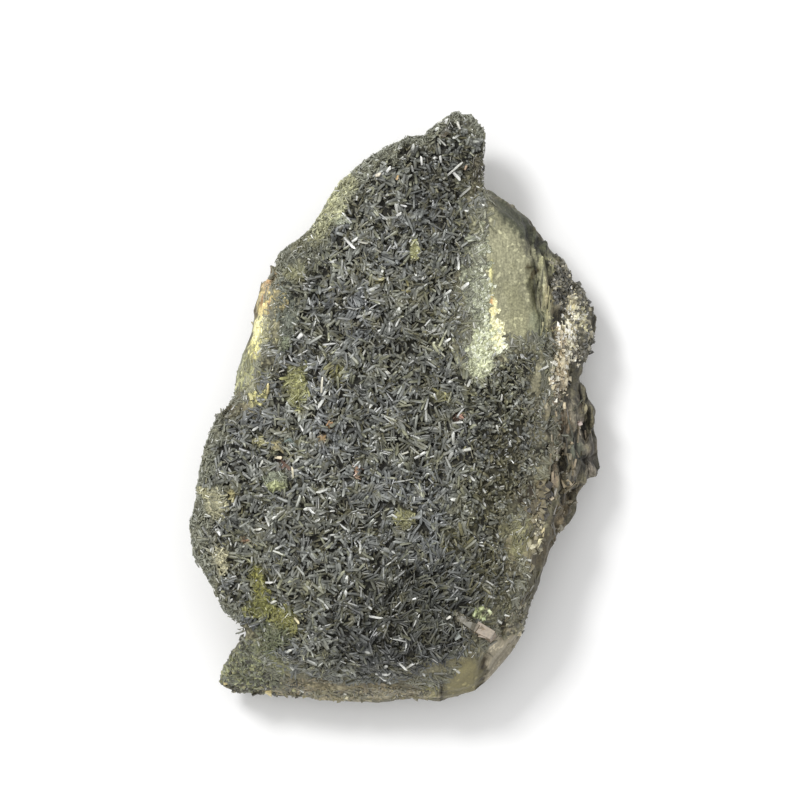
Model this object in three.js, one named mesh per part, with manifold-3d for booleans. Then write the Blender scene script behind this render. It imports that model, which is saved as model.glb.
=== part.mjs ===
// Rough epidote: a hand-sized slab of foliated green host rock whose front face
// is matted with a crust of small dark epidote needles. The two solids are the
// host rock and the crust that grew on it.
//
// Millimetres, +Z up. The slab lies on its flat underside with the crystal face
// up. The origin is under the middle of its bounding box.

import * as THREE from "three";
import { ImprovedNoise } from "three/addons/math/ImprovedNoise.js";
import { mergeVertices } from "three/addons/utils/BufferGeometryUtils.js";
import Module from "manifold-3d";

// Driving dimensions.
const FRONT_HEIGHT = 22.5; // the host rock's front face above the surface it rests on
const CRUST_THICKNESS = 1.9; // from the host rock to the tips of the matted needles
const CRUST_GAP = 0.35; // between the two solids
const CRUST_FOOT = 12.5; // on the walls the crust ends at about this height
const CRYSTAL_PITCH = 4.8; // between the larger crystals that stand clear of the mat
const CRYSTAL_INSET = 3.4; // crystals stay this far inside the crust's edge
const CRYSTAL_LENGTH = [2.4, 4.2];
const CRYSTAL_RADIUS = [0.4, 0.62];
const CRYSTAL_RISE = [0.12, 0.6]; // the tangent of the angle between crystal and mat
const TERRACE_STEP = 2.8; // between the layers that break off down the right side
const BASE_DIP = 1.6; // how far the underside would bulge below the flat it rests on

// Mesh density: squares across a face, and rows down the wall.
const CELLS = 22;
const WALL_ROWS = 6;
const ROOM_CELLS = 20;
const RING_SPREAD = 1.3; // above 1, the squares are finer towards the slab's rim

const CENTRE = new THREE.Vector2(1.5, -9); // every outline is star-shaped about it

// The specimen's outline seen from the front, clockwise from the top.
const OUTLINE = [
  [1.5, 45], [4.2, 45.8], [6.5, 47.7], [9, 49.7], [11.5, 50.5], [13.8, 49.2],
  [14.8, 46.5], [14.4, 42.5], [14.5, 39.4], [15.9, 36.9], [18.4, 34.9], [22, 33],
  [24, 30.3], [25.1, 28.5], [27, 27], [28.4, 25], [30.2, 21.8], [32.6, 18.5],
  [33.9, 15], [34.2, 12.6], [33.2, 9.8], [31.2, 6.4], [31.3, 4.4], [33.4, 1.6],
  [34.2, -0.6], [33.9, -5], [34.7, -8.8], [34.2, -11], [31.8, -12.6], [30.5, -15.6],
  [29.4, -19.2], [26.9, -22.6], [25.4, -26], [24.5, -29.4], [22.9, -33],
  [21.9, -37.4], [20, -40.6], [17.6, -43.9], [14.2, -47.4], [11.4, -49.1],
  [8, -49.7], [5.4, -50.1], [3, -49.5], [-0.5, -50.2], [-5, -50.4], [-12, -49.9],
  [-19, -49.5], [-25.6, -49.3], [-29.6, -48.4], [-30.7, -46.4], [-29.2, -42.7],
  [-26.4, -39.4], [-26, -37.8], [-27.5, -35.6], [-29.8, -32.4], [-31.3, -29.2],
  [-33.4, -26.2], [-34.4, -22], [-34.3, -17.5], [-33.1, -13], [-32.8, -9],
  [-31.7, -4.4], [-29.8, -0.4], [-27.9, 2.8], [-26.9, 8], [-25.2, 12.4],
  [-24.3, 16.4], [-22.7, 21.2], [-20.6, 25], [-18.4, 27.3], [-15.2, 29.2],
  [-13, 32], [-11.7, 35], [-9.6, 38.1], [-6.2, 41.1], [-2.2, 43.5],
];

// The edge of the needle crust. Where it runs outside OUTLINE, the crust wraps
// over the slab's edge. The rock is bare on the upper right, down the right
// side, on the lower right corner, along the bottom and in a strip on the left.
const CRUST_EDGE = [
  [1.5, 52], [11, 58], [17.5, 52], [16.6, 42.5], [14.9, 36], [13.9, 31], [12.6, 24],
  [11.6, 16], [11.8, 9.4], [16.6, 7.6], [18.4, 10.4], [23, 11.4], [26.2, 10.2],
  [24.7, 7], [24.8, 3.6], [26.2, -1.6], [25.4, -7.4], [24.8, -11.6], [22.6, -15.6],
  [20.4, -18.4], [20, -22.6], [20.6, -27], [19.6, -31], [17, -34.4], [15.2, -38.4],
  [12.6, -42], [8.4, -44.6], [3, -46.6], [-4, -47.8], [-14, -47.4], [-19, -45.6],
  [-22, -42], [-25, -39.2], [-31, -37.4], [-42, -34], [-44, -20], [-42, -9],
  [-40, -0.6], [-27, 0.4], [-24.4, 3.4], [-22.8, 8.2], [-21.6, 13.2], [-20.2, 18.4],
  [-21.6, 23.6], [-30, 32], [-20, 42], [-8, 50],
];

// How the front face meets the walls and how far the underside tucks in, by
// bearing in degrees clockwise from +Y: [bearing, rim width, rim drop, tuck].
const RIM = [
  [0, 5, 4.5, 3], [12, 4.5, 5, 1.5], [17, 3, 4, 1.2], [30, 4.5, 7, 3], [50, 7, 4, 3],
  [66, 4, 4, 2], [85, 4, 4.5, 2], [105, 4.5, 4, 3], [125, 3.5, 6, 4],
  [145, 2.5, 4, 3], [165, 2.5, 3, 2.5], [182, 3, 5, 3], [203, 3, 5, 4],
  [220, 5, 5, 2.5], [227, 3, 4, 2], [245, 5, 6, 5], [270, 5, 5, 5],
  [295, 6, 6, 4], [320, 4.5, 5, 4], [342, 5, 5.5, 4],
];

// Swells and hollows of the front face: centre, reach along X and Y, and rise.
const FORMS = [
  { at: [-6, -22], reach: [17, 14], rise: 2.6 },
  { at: [-3, 13], reach: [13, 17], rise: 1.6 },
  { at: [9, 31], reach: [8, 7], rise: -1.6 },
  { at: [-17, 5], reach: [6, 9], rise: -1.8 },
  { at: [12, -14], reach: [7, 9], rise: 1.1 },
  { at: [23.8, 23.5], reach: [1.9, 6.5], rise: -3 },
  { at: [27.2, 20.5], reach: [2.2, 7], rise: 1.8 },
  { at: [31.4, -1.4], reach: [1.6, 5], rise: -2.6 },
  { at: [33, -3.6], reach: [1.6, 8], rise: 2.2 },
  { at: [-25, -43], reach: [7, 5], rise: -2.4 },
];

// Fracture planes that clip the front face: a point and the slope there.
const FACETS = [
  { at: [13, 22, 22.3], slope: [-0.24, -0.04] }, // bare plane on the upper right
  { at: [27, 6, 18.6], slope: [-0.72, -0.02] }, // shelf down the right side
  { at: [18, -37, 21.5], slope: [-0.84, 0.72] }, // facet on the lower right corner
  { at: [9, -43.5, 21.5], slope: [0.1, 0.95] }, // facet over the bottom edge
  { at: [6, 36, 22], slope: [0, -0.3] }, // the horn thins towards its tip
];

// Wall rows stand in or out by these amounts, like the edges of stacked layers.
const LAYERS = [0, 0.9, -0.4, 1.1, -0.3, 1, 0.4];

const UP = new THREE.Vector3(0, 1, 0); // along a crystal before it is turned
const noiseSource = new ImprovedNoise();

// Smooth noise of about -1 to 1 whose lumps are `size` across.
const noise = (x, y, z, size) => noiseSource.noise(x / size, y / size, z / size);

// Repeatable scatter: the same number from 0 to 1 for the same index and salt.
function scatter(index, salt) {
  const value = Math.sin(index * 12.9898 + salt * 78.233) * 43758.5453;
  return value - Math.floor(value);
}

const pick = ([low, high], share) => THREE.MathUtils.lerp(low, high, share);

// Bearing of a point from the centre, in degrees clockwise from +Y, 0 to 360.
function bearingOf(x, y) {
  const degrees = THREE.MathUtils.radToDeg(Math.atan2(x - CENTRE.x, y - CENTRE.y));
  return (degrees + 360) % 360;
}

const radiusOf = (x, y) => Math.hypot(x - CENTRE.x, y - CENTRE.y);

// Interpolates rows of [bearing, ...values] round the whole circle.
function aroundTheCircle(rows) {
  const sorted = [...rows].sort((a, b) => a[0] - b[0]);
  const first = sorted[0];
  const last = sorted[sorted.length - 1];
  const ring = [
    [last[0] - 360, ...last.slice(1)],
    ...sorted,
    [first[0] + 360, ...first.slice(1)],
  ];
  return (bearing) => {
    const next = Math.max(1, ring.findIndex((row) => row[0] > bearing));
    const [before, after] = [ring[next - 1], ring[next]];
    const share = (bearing - before[0]) / (after[0] - before[0]);
    return after.slice(1).map((value, i) => pick([before[i + 1], value], share));
  };
}

const closedCurve = (points) =>
  new THREE.CatmullRomCurve3(points.map(([x, y]) => new THREE.Vector3(x, y, 0)), true);

// The radius of a closed curve about the centre, by bearing.
function radiusByBearing(curve) {
  const rows = curve.getSpacedPoints(360).map(({ x, y }) => [bearingOf(x, y), radiusOf(x, y)]);
  const lookUp = aroundTheCircle(rows);
  return (bearing) => lookUp(bearing)[0];
}

const outline = closedCurve(OUTLINE);
const slabRadius = radiusByBearing(outline);
const crustRadius = radiusByBearing(closedCurve(CRUST_EDGE));
const rimAt = aroundTheCircle(RIM);

// Down the right side the layers of the rock break off in steps.
function terraced(x, height) {
  const step = Math.round(height / TERRACE_STEP) * TERRACE_STEP;
  return pick([height, step], 0.8 * THREE.MathUtils.smoothstep(x, 25, 29));
}

// Height of the host rock's front face.
function frontHeight(x, y) {
  const bearing = bearingOf(x, y);
  const [rimWidth, rimDrop] = rimAt(bearing);
  const toEdge = Math.max(0, slabRadius(bearing) - radiusOf(x, y));
  let height = FRONT_HEIGHT;
  for (const { at, reach, rise } of FORMS) {
    const far = ((x - at[0]) / reach[0]) ** 2 + ((y - at[1]) / reach[1]) ** 2;
    height += rise * Math.exp(-far);
  }
  for (const { at, slope } of FACETS) {
    const plane = at[2] + slope[0] * (x - at[0]) + slope[1] * (y - at[1]);
    height = Math.min(height, plane);
  }
  height = terraced(x, height) + 0.7 * noise(x, y, 3, 9) + 0.4 * noise(x, y, 7, 4);
  return height - rimDrop * Math.max(0, 1 - toEdge / rimWidth) ** 2;
}

// Height of the underside before the flat it rests on is cut.
function undersideHeight(x, y) {
  const reach = radiusOf(x, y) / slabRadius(bearingOf(x, y));
  const underHorn = 3.5 * THREE.MathUtils.smoothstep(y, 33, 50);
  return -BASE_DIP + 6 * reach ** 4 + underHorn + 0.9 * noise(x, y, 11, 11);
}

// How thick the crust is over a point of the host rock's surface.
const crustThickness = (x, y, z) => CRUST_THICKNESS + 0.5 * noise(x, y, z, 5);

// Where a vertex of the square grid goes round the outline, as a share of a turn.
function turnOf(s, t) {
  const ring = Math.max(Math.abs(s), Math.abs(t)) || 1;
  if (t >= ring) return (s / ring / 8 + 1) % 1;
  if (s >= ring) return 1 / 4 - t / ring / 8;
  if (t <= -ring) return 1 / 2 - s / ring / 8;
  return 3 / 4 + t / ring / 8;
}

// A geometry with its corners welded, so that it closes.
function welded(geometry) {
  const bare = geometry.clone();
  bare.deleteAttribute("normal");
  bare.deleteAttribute("uv");
  return mergeVertices(bare, 1e-4);
}

// Turns a box grid, each side -1 to 1, into the slab. The box's top is the front
// face, its bottom the underside and its sides the walls. growth(x, y, z) moves
// the surface outwards.
function slabGeometry(growth) {
  const geometry = welded(new THREE.BoxGeometry(2, 2, 2, CELLS, CELLS, WALL_ROWS));
  const place = geometry.attributes.position;
  for (let i = 0; i < place.count; i++) {
    const [s, t, depth] = [place.getX(i), place.getY(i), place.getZ(i)];
    const ring = 1 - (1 - Math.max(Math.abs(s), Math.abs(t))) ** RING_SPREAD;
    const turn = turnOf(s, t);
    const edge = outline.getPointAt(turn);
    const along = outline.getTangentAt(turn);
    const bearing = bearingOf(edge.x, edge.y);
    const reach = radiusOf(edge.x, edge.y);
    const wrapped = THREE.MathUtils.smoothstep(crustRadius(bearing) - reach, -2, 3);
    const down = (1 - depth) / 2;
    const tuck = rimAt(bearing)[2] * down ** 1.5 + 0.9 * CRUST_THICKNESS * wrapped;
    const layer = LAYERS[Math.round(down * WALL_ROWS)] * (0.6 + noise(edge.x, edge.y, 31, 9));
    const inset = tuck + layer * (down > 0.6 ? 1 : 1 - wrapped);
    const x = pick([CENTRE.x, edge.x + along.y * inset], ring);
    const y = pick([CENTRE.y, edge.y - along.x * inset], ring);
    const z = pick([frontHeight(x, y), undersideHeight(x, y)], down);
    const grown = growth(x, y, z);
    const sideways = grown * ring ** 8;
    const upwards = down === 0 ? grown : 0;
    place.setXYZ(i, x - along.y * sideways, y + along.x * sideways, z + upwards);
  }
  return geometry;
}

// The room that the crust fills: a block over the face that stops at the crust's
// ragged edge and at its foot on the walls.
function crustRoomGeometry() {
  const geometry = welded(new THREE.BoxGeometry(2, 2, 2, ROOM_CELLS, ROOM_CELLS, 1));
  const place = geometry.attributes.position;
  for (let i = 0; i < place.count; i++) {
    const [s, t, side] = [place.getX(i), place.getY(i), place.getZ(i)];
    const ring = Math.max(Math.abs(s), Math.abs(t));
    const turn = 2 * Math.PI * turnOf(s, t);
    const radius = ring * crustRadius(THREE.MathUtils.radToDeg(turn));
    const [outX, outY] = [Math.sin(turn), Math.cos(turn)];
    const ragged = 1.3 * ring * noise(outX * radius, outY * radius, 17, 4);
    const x = CENTRE.x + outX * (radius + ragged);
    const y = CENTRE.y + outY * (radius + ragged);
    const foot = CRUST_FOOT * Math.min(1, 2 * ring ** 4) + 3 * noise(x, y, 23, 7);
    place.setXYZ(i, x, y, side > 0 ? 2 * FRONT_HEIGHT : foot);
  }
  return geometry;
}

const wasm = await Module();
wasm.setup();

// A closed geometry as a manifold-3d solid.
function solidOf(geometry) {
  const closed = welded(geometry);
  return new wasm.Manifold(
    new wasm.Mesh({
      numProp: 3,
      vertProperties: new Float32Array(closed.attributes.position.array),
      triVerts: new Uint32Array(closed.index.array),
    }),
  );
}

// The largest body of a solid: crumbs left by a cut are dropped.
const largest = (solid) =>
  solid.decompose().reduce((best, body) => (body.volume() > best.volume() ? body : best));

// A block below the surface that the slab rests on.
function groundSolid() {
  const ground = new THREE.BoxGeometry(200, 200, 40);
  ground.translate(0, 0, -20);
  return solidOf(ground);
}

// One crystal that stands out of the mat: a three-sided lath with a sharp tip.
function crystalGeometry(index) {
  const length = pick(CRYSTAL_LENGTH, scatter(index, 1));
  const radius = pick(CRYSTAL_RADIUS, scatter(index, 2));
  const profile = [
    new THREE.Vector2(0, -0.4 * length),
    new THREE.Vector2(radius, 0.3 * length),
    new THREE.Vector2(0, 0.6 * length),
  ];
  return new THREE.LatheGeometry(profile, 3);
}

// Crystals fixed on the mat, scattered about a square grid. Neighbours lie
// roughly the same way, and each rises a little from the surface it grows on.
function crystalSolids(matMesh) {
  const down = new THREE.Vector3(0, 0, -1);
  const ray = new THREE.Raycaster();
  const solids = [];
  const rows = Math.ceil(110 / CRYSTAL_PITCH);
  for (let i = 0; i < rows * rows; i++) {
    const column = (i % rows) + 0.6 * (scatter(i, 6) - 0.5);
    const row = Math.floor(i / rows) + 0.6 * (scatter(i, 7) - 0.5);
    const x = (column - rows / 2) * CRYSTAL_PITCH;
    const y = (row - rows / 2) * CRYSTAL_PITCH;
    if (crustRadius(bearingOf(x, y)) - radiusOf(x, y) < CRYSTAL_INSET) continue;
    ray.set(new THREE.Vector3(x, y, 100), down);
    const [hit] = ray.intersectObject(matMesh);
    if (!hit || hit.face.normal.z < 0.6) continue;
    const heading = THREE.MathUtils.degToRad(200 * noise(x, y, 41, 14) + 150 * scatter(i, 3));
    const lie = new THREE.Vector3(Math.cos(heading), Math.sin(heading), 0);
    lie.projectOnPlane(hit.face.normal).normalize();
    lie.addScaledVector(hit.face.normal, pick(CRYSTAL_RISE, scatter(i, 4))).normalize();
    const crystal = crystalGeometry(i);
    crystal.rotateY(2 * Math.PI * scatter(i, 5));
    crystal.applyQuaternion(new THREE.Quaternion().setFromUnitVectors(UP, lie));
    crystal.translate(...hit.point.addScaledVector(hit.face.normal, -0.1));
    const solid = solidOf(crystal);
    if (solid.intersect(clearance).isEmpty()) solids.push(solid);
  }
  return solids;
}

const ground = groundSolid();
const hostRock = largest(solidOf(slabGeometry(() => 0)).subtract(ground));
const clearance = solidOf(slabGeometry(() => CRUST_GAP));
const room = solidOf(crustRoomGeometry());
const mat = largest(solidOf(slabGeometry(crustThickness)).intersect(room).subtract(clearance));

// A solid as a named mesh, moved so that the whole part stands on its origin.
function meshOf(name, solid, offset, look) {
  const { vertProperties, triVerts, numProp } = solid.getMesh();
  const geometry = new THREE.BufferGeometry();
  const vertices = new THREE.InterleavedBuffer(vertProperties, numProp);
  geometry.setAttribute("position", new THREE.InterleavedBufferAttribute(vertices, 3, 0));
  geometry.setIndex(new THREE.BufferAttribute(triVerts, 1));
  const mesh = new THREE.Mesh(geometry, new THREE.MeshStandardMaterial(look));
  mesh.name = name;
  mesh.position.copy(offset);
  return mesh;
}

const matMesh = meshOf("mat", mat, new THREE.Vector3(), {});
const crust = crystalSolids(matMesh).reduce((whole, crystal) => whole.add(crystal), mat);

const bounds = new THREE.Box3();
for (const solid of [hostRock, crust]) {
  const { min, max } = solid.boundingBox();
  bounds.union(new THREE.Box3(new THREE.Vector3(...min), new THREE.Vector3(...max)));
}
const offset = bounds.getCenter(new THREE.Vector3()).negate().setZ(-bounds.min.z);

const ROCK_LOOK = { color: 0x8f8b70, roughness: 0.85, metalness: 0, flatShading: true };
const CRUST_LOOK = { color: 0x565850, roughness: 0.35, metalness: 0, flatShading: true };
const specimen = new THREE.Group();
specimen.add(
  meshOf("host_rock", hostRock, offset, ROCK_LOOK),
  meshOf("epidote_crust", crust, offset, CRUST_LOOK),
);

export default specimen;
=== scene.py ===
import math

import bpy
import numpy as np
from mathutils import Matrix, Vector
from mathutils.bvhtree import BVHTree
from mathutils.kdtree import KDTree


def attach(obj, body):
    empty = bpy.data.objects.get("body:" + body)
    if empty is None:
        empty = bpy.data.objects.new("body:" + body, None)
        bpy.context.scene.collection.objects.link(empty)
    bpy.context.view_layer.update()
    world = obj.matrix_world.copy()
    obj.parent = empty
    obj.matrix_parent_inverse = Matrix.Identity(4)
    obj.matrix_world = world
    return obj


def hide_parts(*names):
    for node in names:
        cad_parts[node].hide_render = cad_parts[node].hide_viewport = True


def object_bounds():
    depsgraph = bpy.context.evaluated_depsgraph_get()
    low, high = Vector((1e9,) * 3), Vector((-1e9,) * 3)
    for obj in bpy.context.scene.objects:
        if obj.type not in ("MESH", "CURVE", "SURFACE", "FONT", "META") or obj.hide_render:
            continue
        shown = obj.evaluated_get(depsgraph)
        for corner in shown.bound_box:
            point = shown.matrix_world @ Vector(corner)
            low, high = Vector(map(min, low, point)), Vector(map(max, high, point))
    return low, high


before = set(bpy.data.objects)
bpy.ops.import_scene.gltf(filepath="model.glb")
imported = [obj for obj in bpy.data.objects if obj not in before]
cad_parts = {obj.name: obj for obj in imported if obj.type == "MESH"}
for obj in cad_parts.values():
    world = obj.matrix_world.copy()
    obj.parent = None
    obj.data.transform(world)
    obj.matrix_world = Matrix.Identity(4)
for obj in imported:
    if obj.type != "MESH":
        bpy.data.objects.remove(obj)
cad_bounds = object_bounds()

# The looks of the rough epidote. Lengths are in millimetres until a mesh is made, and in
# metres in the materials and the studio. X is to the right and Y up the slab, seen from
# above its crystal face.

MM = 0.001
UV_NAME = "OFBake"
FLAT = (1, 1, 0)  # times a point, it gives the point as seen from above
FAR = 60  # longer than any way through the slab
HIGHEST = cad_bounds[1][2] / MM + 0.3  # no crystal's axis reaches above this

ROCK_VOXEL = 0.46
MAT_VOXEL = 0.65
MAT_DEPTH = 2.25  # from the tops of the mat's crystals to the rock under it
LAYERS = ((1.7, 0.7, 2), (0.8, 0.35, 3))  # of the rock: thickness, how far edges stand out, seed

THINNED = 1
BUNDLES = 20500 // THINNED  # groups of parallel blades tried in the mat
BUNDLE_SHARES = (0.76, 0.2, 0.04)  # of the groups have one, two and three blades
FRAGMENTS = 9000 // THINNED  # small crystals between them
FUZZ = 10000  # the finest crystals, where the mat is worn or coloured
BORDER_BLADES = 3600  # blades on the rock along the mat's edge
GRAINS = 8000  # angular grains on the bare rock
GROWTH_SPOTS = 60000  # places tried for the rock's own crystals
EDGE_SPOTS = 9000  # of the bare top and of the walls, to measure from
MAT_SPOTS = 14000  # of the mat, to measure from
BLADE_LENGTH, BLADE_WIDTH = (1.4, 2.75), (0.36, 0.68)
BORDER_LENGTH, BORDER_WIDTH = (1, 2.3), (0.36, 0.66)
FRAGMENT_LENGTH, FRAGMENT_WIDTH = (0.6, 1.4), (0.24, 0.46)
FUZZ_LENGTH, FUZZ_WIDTH = (0.4, 1), (0.2, 0.38)
EPIDOTE_IOR = 1.73

# The camera looks straight down: its lens, how much it sees across and at what height.
LENS, SENSOR = 150, 36
SEEN_WIDTH, MID_HEIGHT = 0.136, 0.014  # in metres

# How wide the worn rim of the mat is, by bearing in degrees round CENTRE.
CENTRE = (1.5, -9)
RIM_BEARINGS = (0, 60, 76, 88, 95, 101, 112, 120, 128, 160, 178, 192, 205, 216, 240, 290, 320)
RIM_WIDTHS = (0.8, 1.6, 2.4, 1.6, 2.4, 3.6, 4.6, 4.2, 3, 2, 1.2, 1.8, 1.2, 1.4, 2.4, 1.6, 0.8)
BEARING_STEP = 2  # degrees between the bearings at which the slab's outline is measured

# Cross-sections of a crystal, and how it narrows: along, girth and painted shade, darker at its
# foot and lighter at its tip.
SIX_SIDED = ((1, 0), (0.5, 0.62), (-0.5, 0.62), (-1, 0), (-0.5, -0.62), (0.5, -0.62))
BLADE = ((-0.5, 0.8, 0.6), (0.36, 1, 1.06), (0.5, 0.5, 1.2))
FOUR_SIDED = ((1, 0.2), (0.2, 0.8), (-1, -0.2), (-0.2, -0.8))
SPLINTER = ((-0.5, 0.9, 0.75), (0.5, 0.7, 1.1))

# Colours are the 0 to 255 values seen on a screen.
ROCK_COLOUR = (126, 122, 98)
# Browner than the top, and darker as painted shade on the walls.
WALL_COLOUR_AND_SHADE = (92, 87, 69)
RUST_COLOUR = (128, 104, 70)
BED_AND_GAP_SHADE_COLOUR = (44, 43, 35)  # the ground between the mat's blades, dark partly as painted shade in the gaps
FINE_BED_COLOUR = (114, 113, 96)  # and where its crystals are fine
BLADE_COLOUR = (116, 118, 112)
# Darker than the blades, partly as painted shade between them.
FRAGMENT_COLOUR = (93, 91, 76)
FUZZ_COLOUR = (118, 118, 102)
BORDER_COLOUR = (112, 113, 102)
RIM_COLOUR = (143, 145, 129)
PALE_AND_GLINT_COLOUR = (236, 237, 230)  # painted glints of crystals that catch the light, and pale crystals
DUST_COLOUR = (128, 124, 92)

# Patches: centre x, y, half width, half height, turn in degrees, colour.
ROCK_PATCHES = [
    (18.4, 23, 9, 15, 0, (150, 148, 120)),  # the bare face on the upper right
    (20.8, 31.6, 6.6, 2, -42, (80, 82, 64)),  # and painted shade on the rim that falls away above it
    (24.8, 28, 3.4, 2, -56, (80, 82, 63)),
    (14, 18, 2.4, 9, 4, (168, 171, 146)),
    (24.1, 14.2, 2.6, 3, 0, (131, 133, 107)),
    (20.4, 16, 2, 6, 8, (146, 144, 114)),
    (14.4, 9.4, 3, 4, 0, (240, 244, 206)),  # whitish green foot of that face
    (15.9, 22.4, 0.3, 2.6, 0, (205, 200, 140)),  # the yellow streak down it
    (16.1, 17, 0.7, 2.4, 3, (244, 236, 180)),
    (16.5, 12, 1.6, 3, 8, (255, 252, 204)),
    (15.9, 17.7, 0.35, 1, 0, (226, 178, 122)),
    (23.1, 20.1, 1.7, 3, 0, (108, 107, 83)),  # painted shade in the crevice and below it
    (22.3, 23.7, 0.8, 0.5, -20, (80, 73, 50)),
    (23.4, 23.1, 1, 0.55, 30, (78, 71, 49)),
    (22.9, 22.3, 0.4, 0.8, 0, (88, 82, 60)),
    (25.8, 24.6, 1.6, 2.8, 0, (156, 154, 118)),  # the ridge beside it
    (25.8, 19.6, 0.9, 3.2, 0, (128, 121, 92)),
    (25.6, 15.4, 0.4, 2.4, 0, (156, 153, 118)),
    (30.2, 15, 3.8, 8.6, 0, (116, 111, 96)),  # the coarse, glittering strip
    (28, 21, 1.3, 2.8, 0, (86, 84, 74)),
    (29.8, 14.7, 1.4, 4.6, -4, (218, 210, 180)),
    (27.4, 6.2, 1.4, 5.2, -4, (206, 194, 164)),
    (26.4, 4, 0.8, 3, 0, (142, 131, 108)),
    (29.4, -6, 4.8, 9.6, 0, (104, 99, 85)),  # the foliated flank below it
    (28.3, -2.6, 1.2, 2.8, 0, (132, 117, 95)),
    (29.8, -7, 1.9, 2.8, 0, (112, 114, 98)),
    (26.6, -11, 0.6, 4.8, 3, (160, 144, 118)),
    # Painted shade in the grooves and a pit of the foliation.
    (25.8, -13.9, 0.35, 2.8, 0, (52, 46, 36)),
    (28, -9.6, 0.5, 3.6, 0, (62, 56, 44)),
    (25.2, -7.2, 0.7, 1, 0, (34, 31, 26)),
    (31.2, 1.5, 0.45, 2.2, 0, (64, 56, 44)),
    (32, -3.2, 0.6, 2.8, 0, (56, 49, 38)),
    (33.1, -0.8, 1.4, 3, 0, (160, 152, 122)),  # two bumps on the right edge
    (33.5, -8.4, 1.3, 3.2, 0, (132, 124, 110)),
    # A painted glint.
    (31.1, -2.6, 0.5, 0.6, 0, (226, 202, 188)),
    (28.4, -17.6, 2.2, 5.6, -27, (118, 106, 82)),
    (22.6, -14.5, 3.2, 3, 0, (70, 62, 48)),
    (20.9, -22, 1.9, 4, 0, (134, 131, 97)),
    (23.9, -21, 0.9, 3.4, -14, (142, 135, 106)),
    (19.4, -35.8, 2.8, 3.4, 0, (118, 116, 93)),  # above the facets at the corner
    # Painted shade in a hole.
    (17.9, -36.5, 0.5, 1.2, 0, (44, 38, 28)),
    (17.8, -42.6, 3.6, 6.6, -32, (186, 176, 152)),  # the brown facet
    (14.1, -45.2, 1, 3.7, -9, (60, 50, 39)),  # painted shadow on the step
    (11.4, -45.8, 3.4, 4.6, -26, (125, 118, 85)),  # the olive facet
    # Painted shade in a groove.
    (7.6, -48, 0.3, 1.8, 0, (52, 48, 36)),
    (5.6, -47.6, 1.6, 2.2, 0, (130, 128, 90)),
    (-24.4, -44, 6.6, 4.6, 0, (146, 147, 112)),  # the foot, bottom left
    (-11, -48.6, 17, 1.8, 0, (166, 156, 127)),  # the rim under the mat
    (-27.4, 7, 1.2, 8, -14, (118, 120, 104)),  # bright strip on the left edge
    (-25.4, 6.4, 1.9, 4.4, -10, (172, 172, 128)),
    (-24, 9.9, 1.1, 2.6, -15, (222, 216, 150)),
    (-22.4, 13.6, 1.8, 3, -8, (244, 238, 178)),
    (-21.8, 17.6, 2, 2.8, -8, (204, 188, 132)),
    (-21.6, 21, 0.9, 1.6, -20, (182, 160, 122)),
    (-21.4, 17, 0.3, 1.6, -10, (152, 124, 88)),
    (-22.6, 18.2, 0.3, 1.2, -20, (162, 132, 96)),
    (-24.1, 2.9, 0.9, 2.2, 0, (218, 212, 146)),
    (-25.7, 12.4, 1.1, 9, -14, (126, 128, 106)),
]

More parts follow.
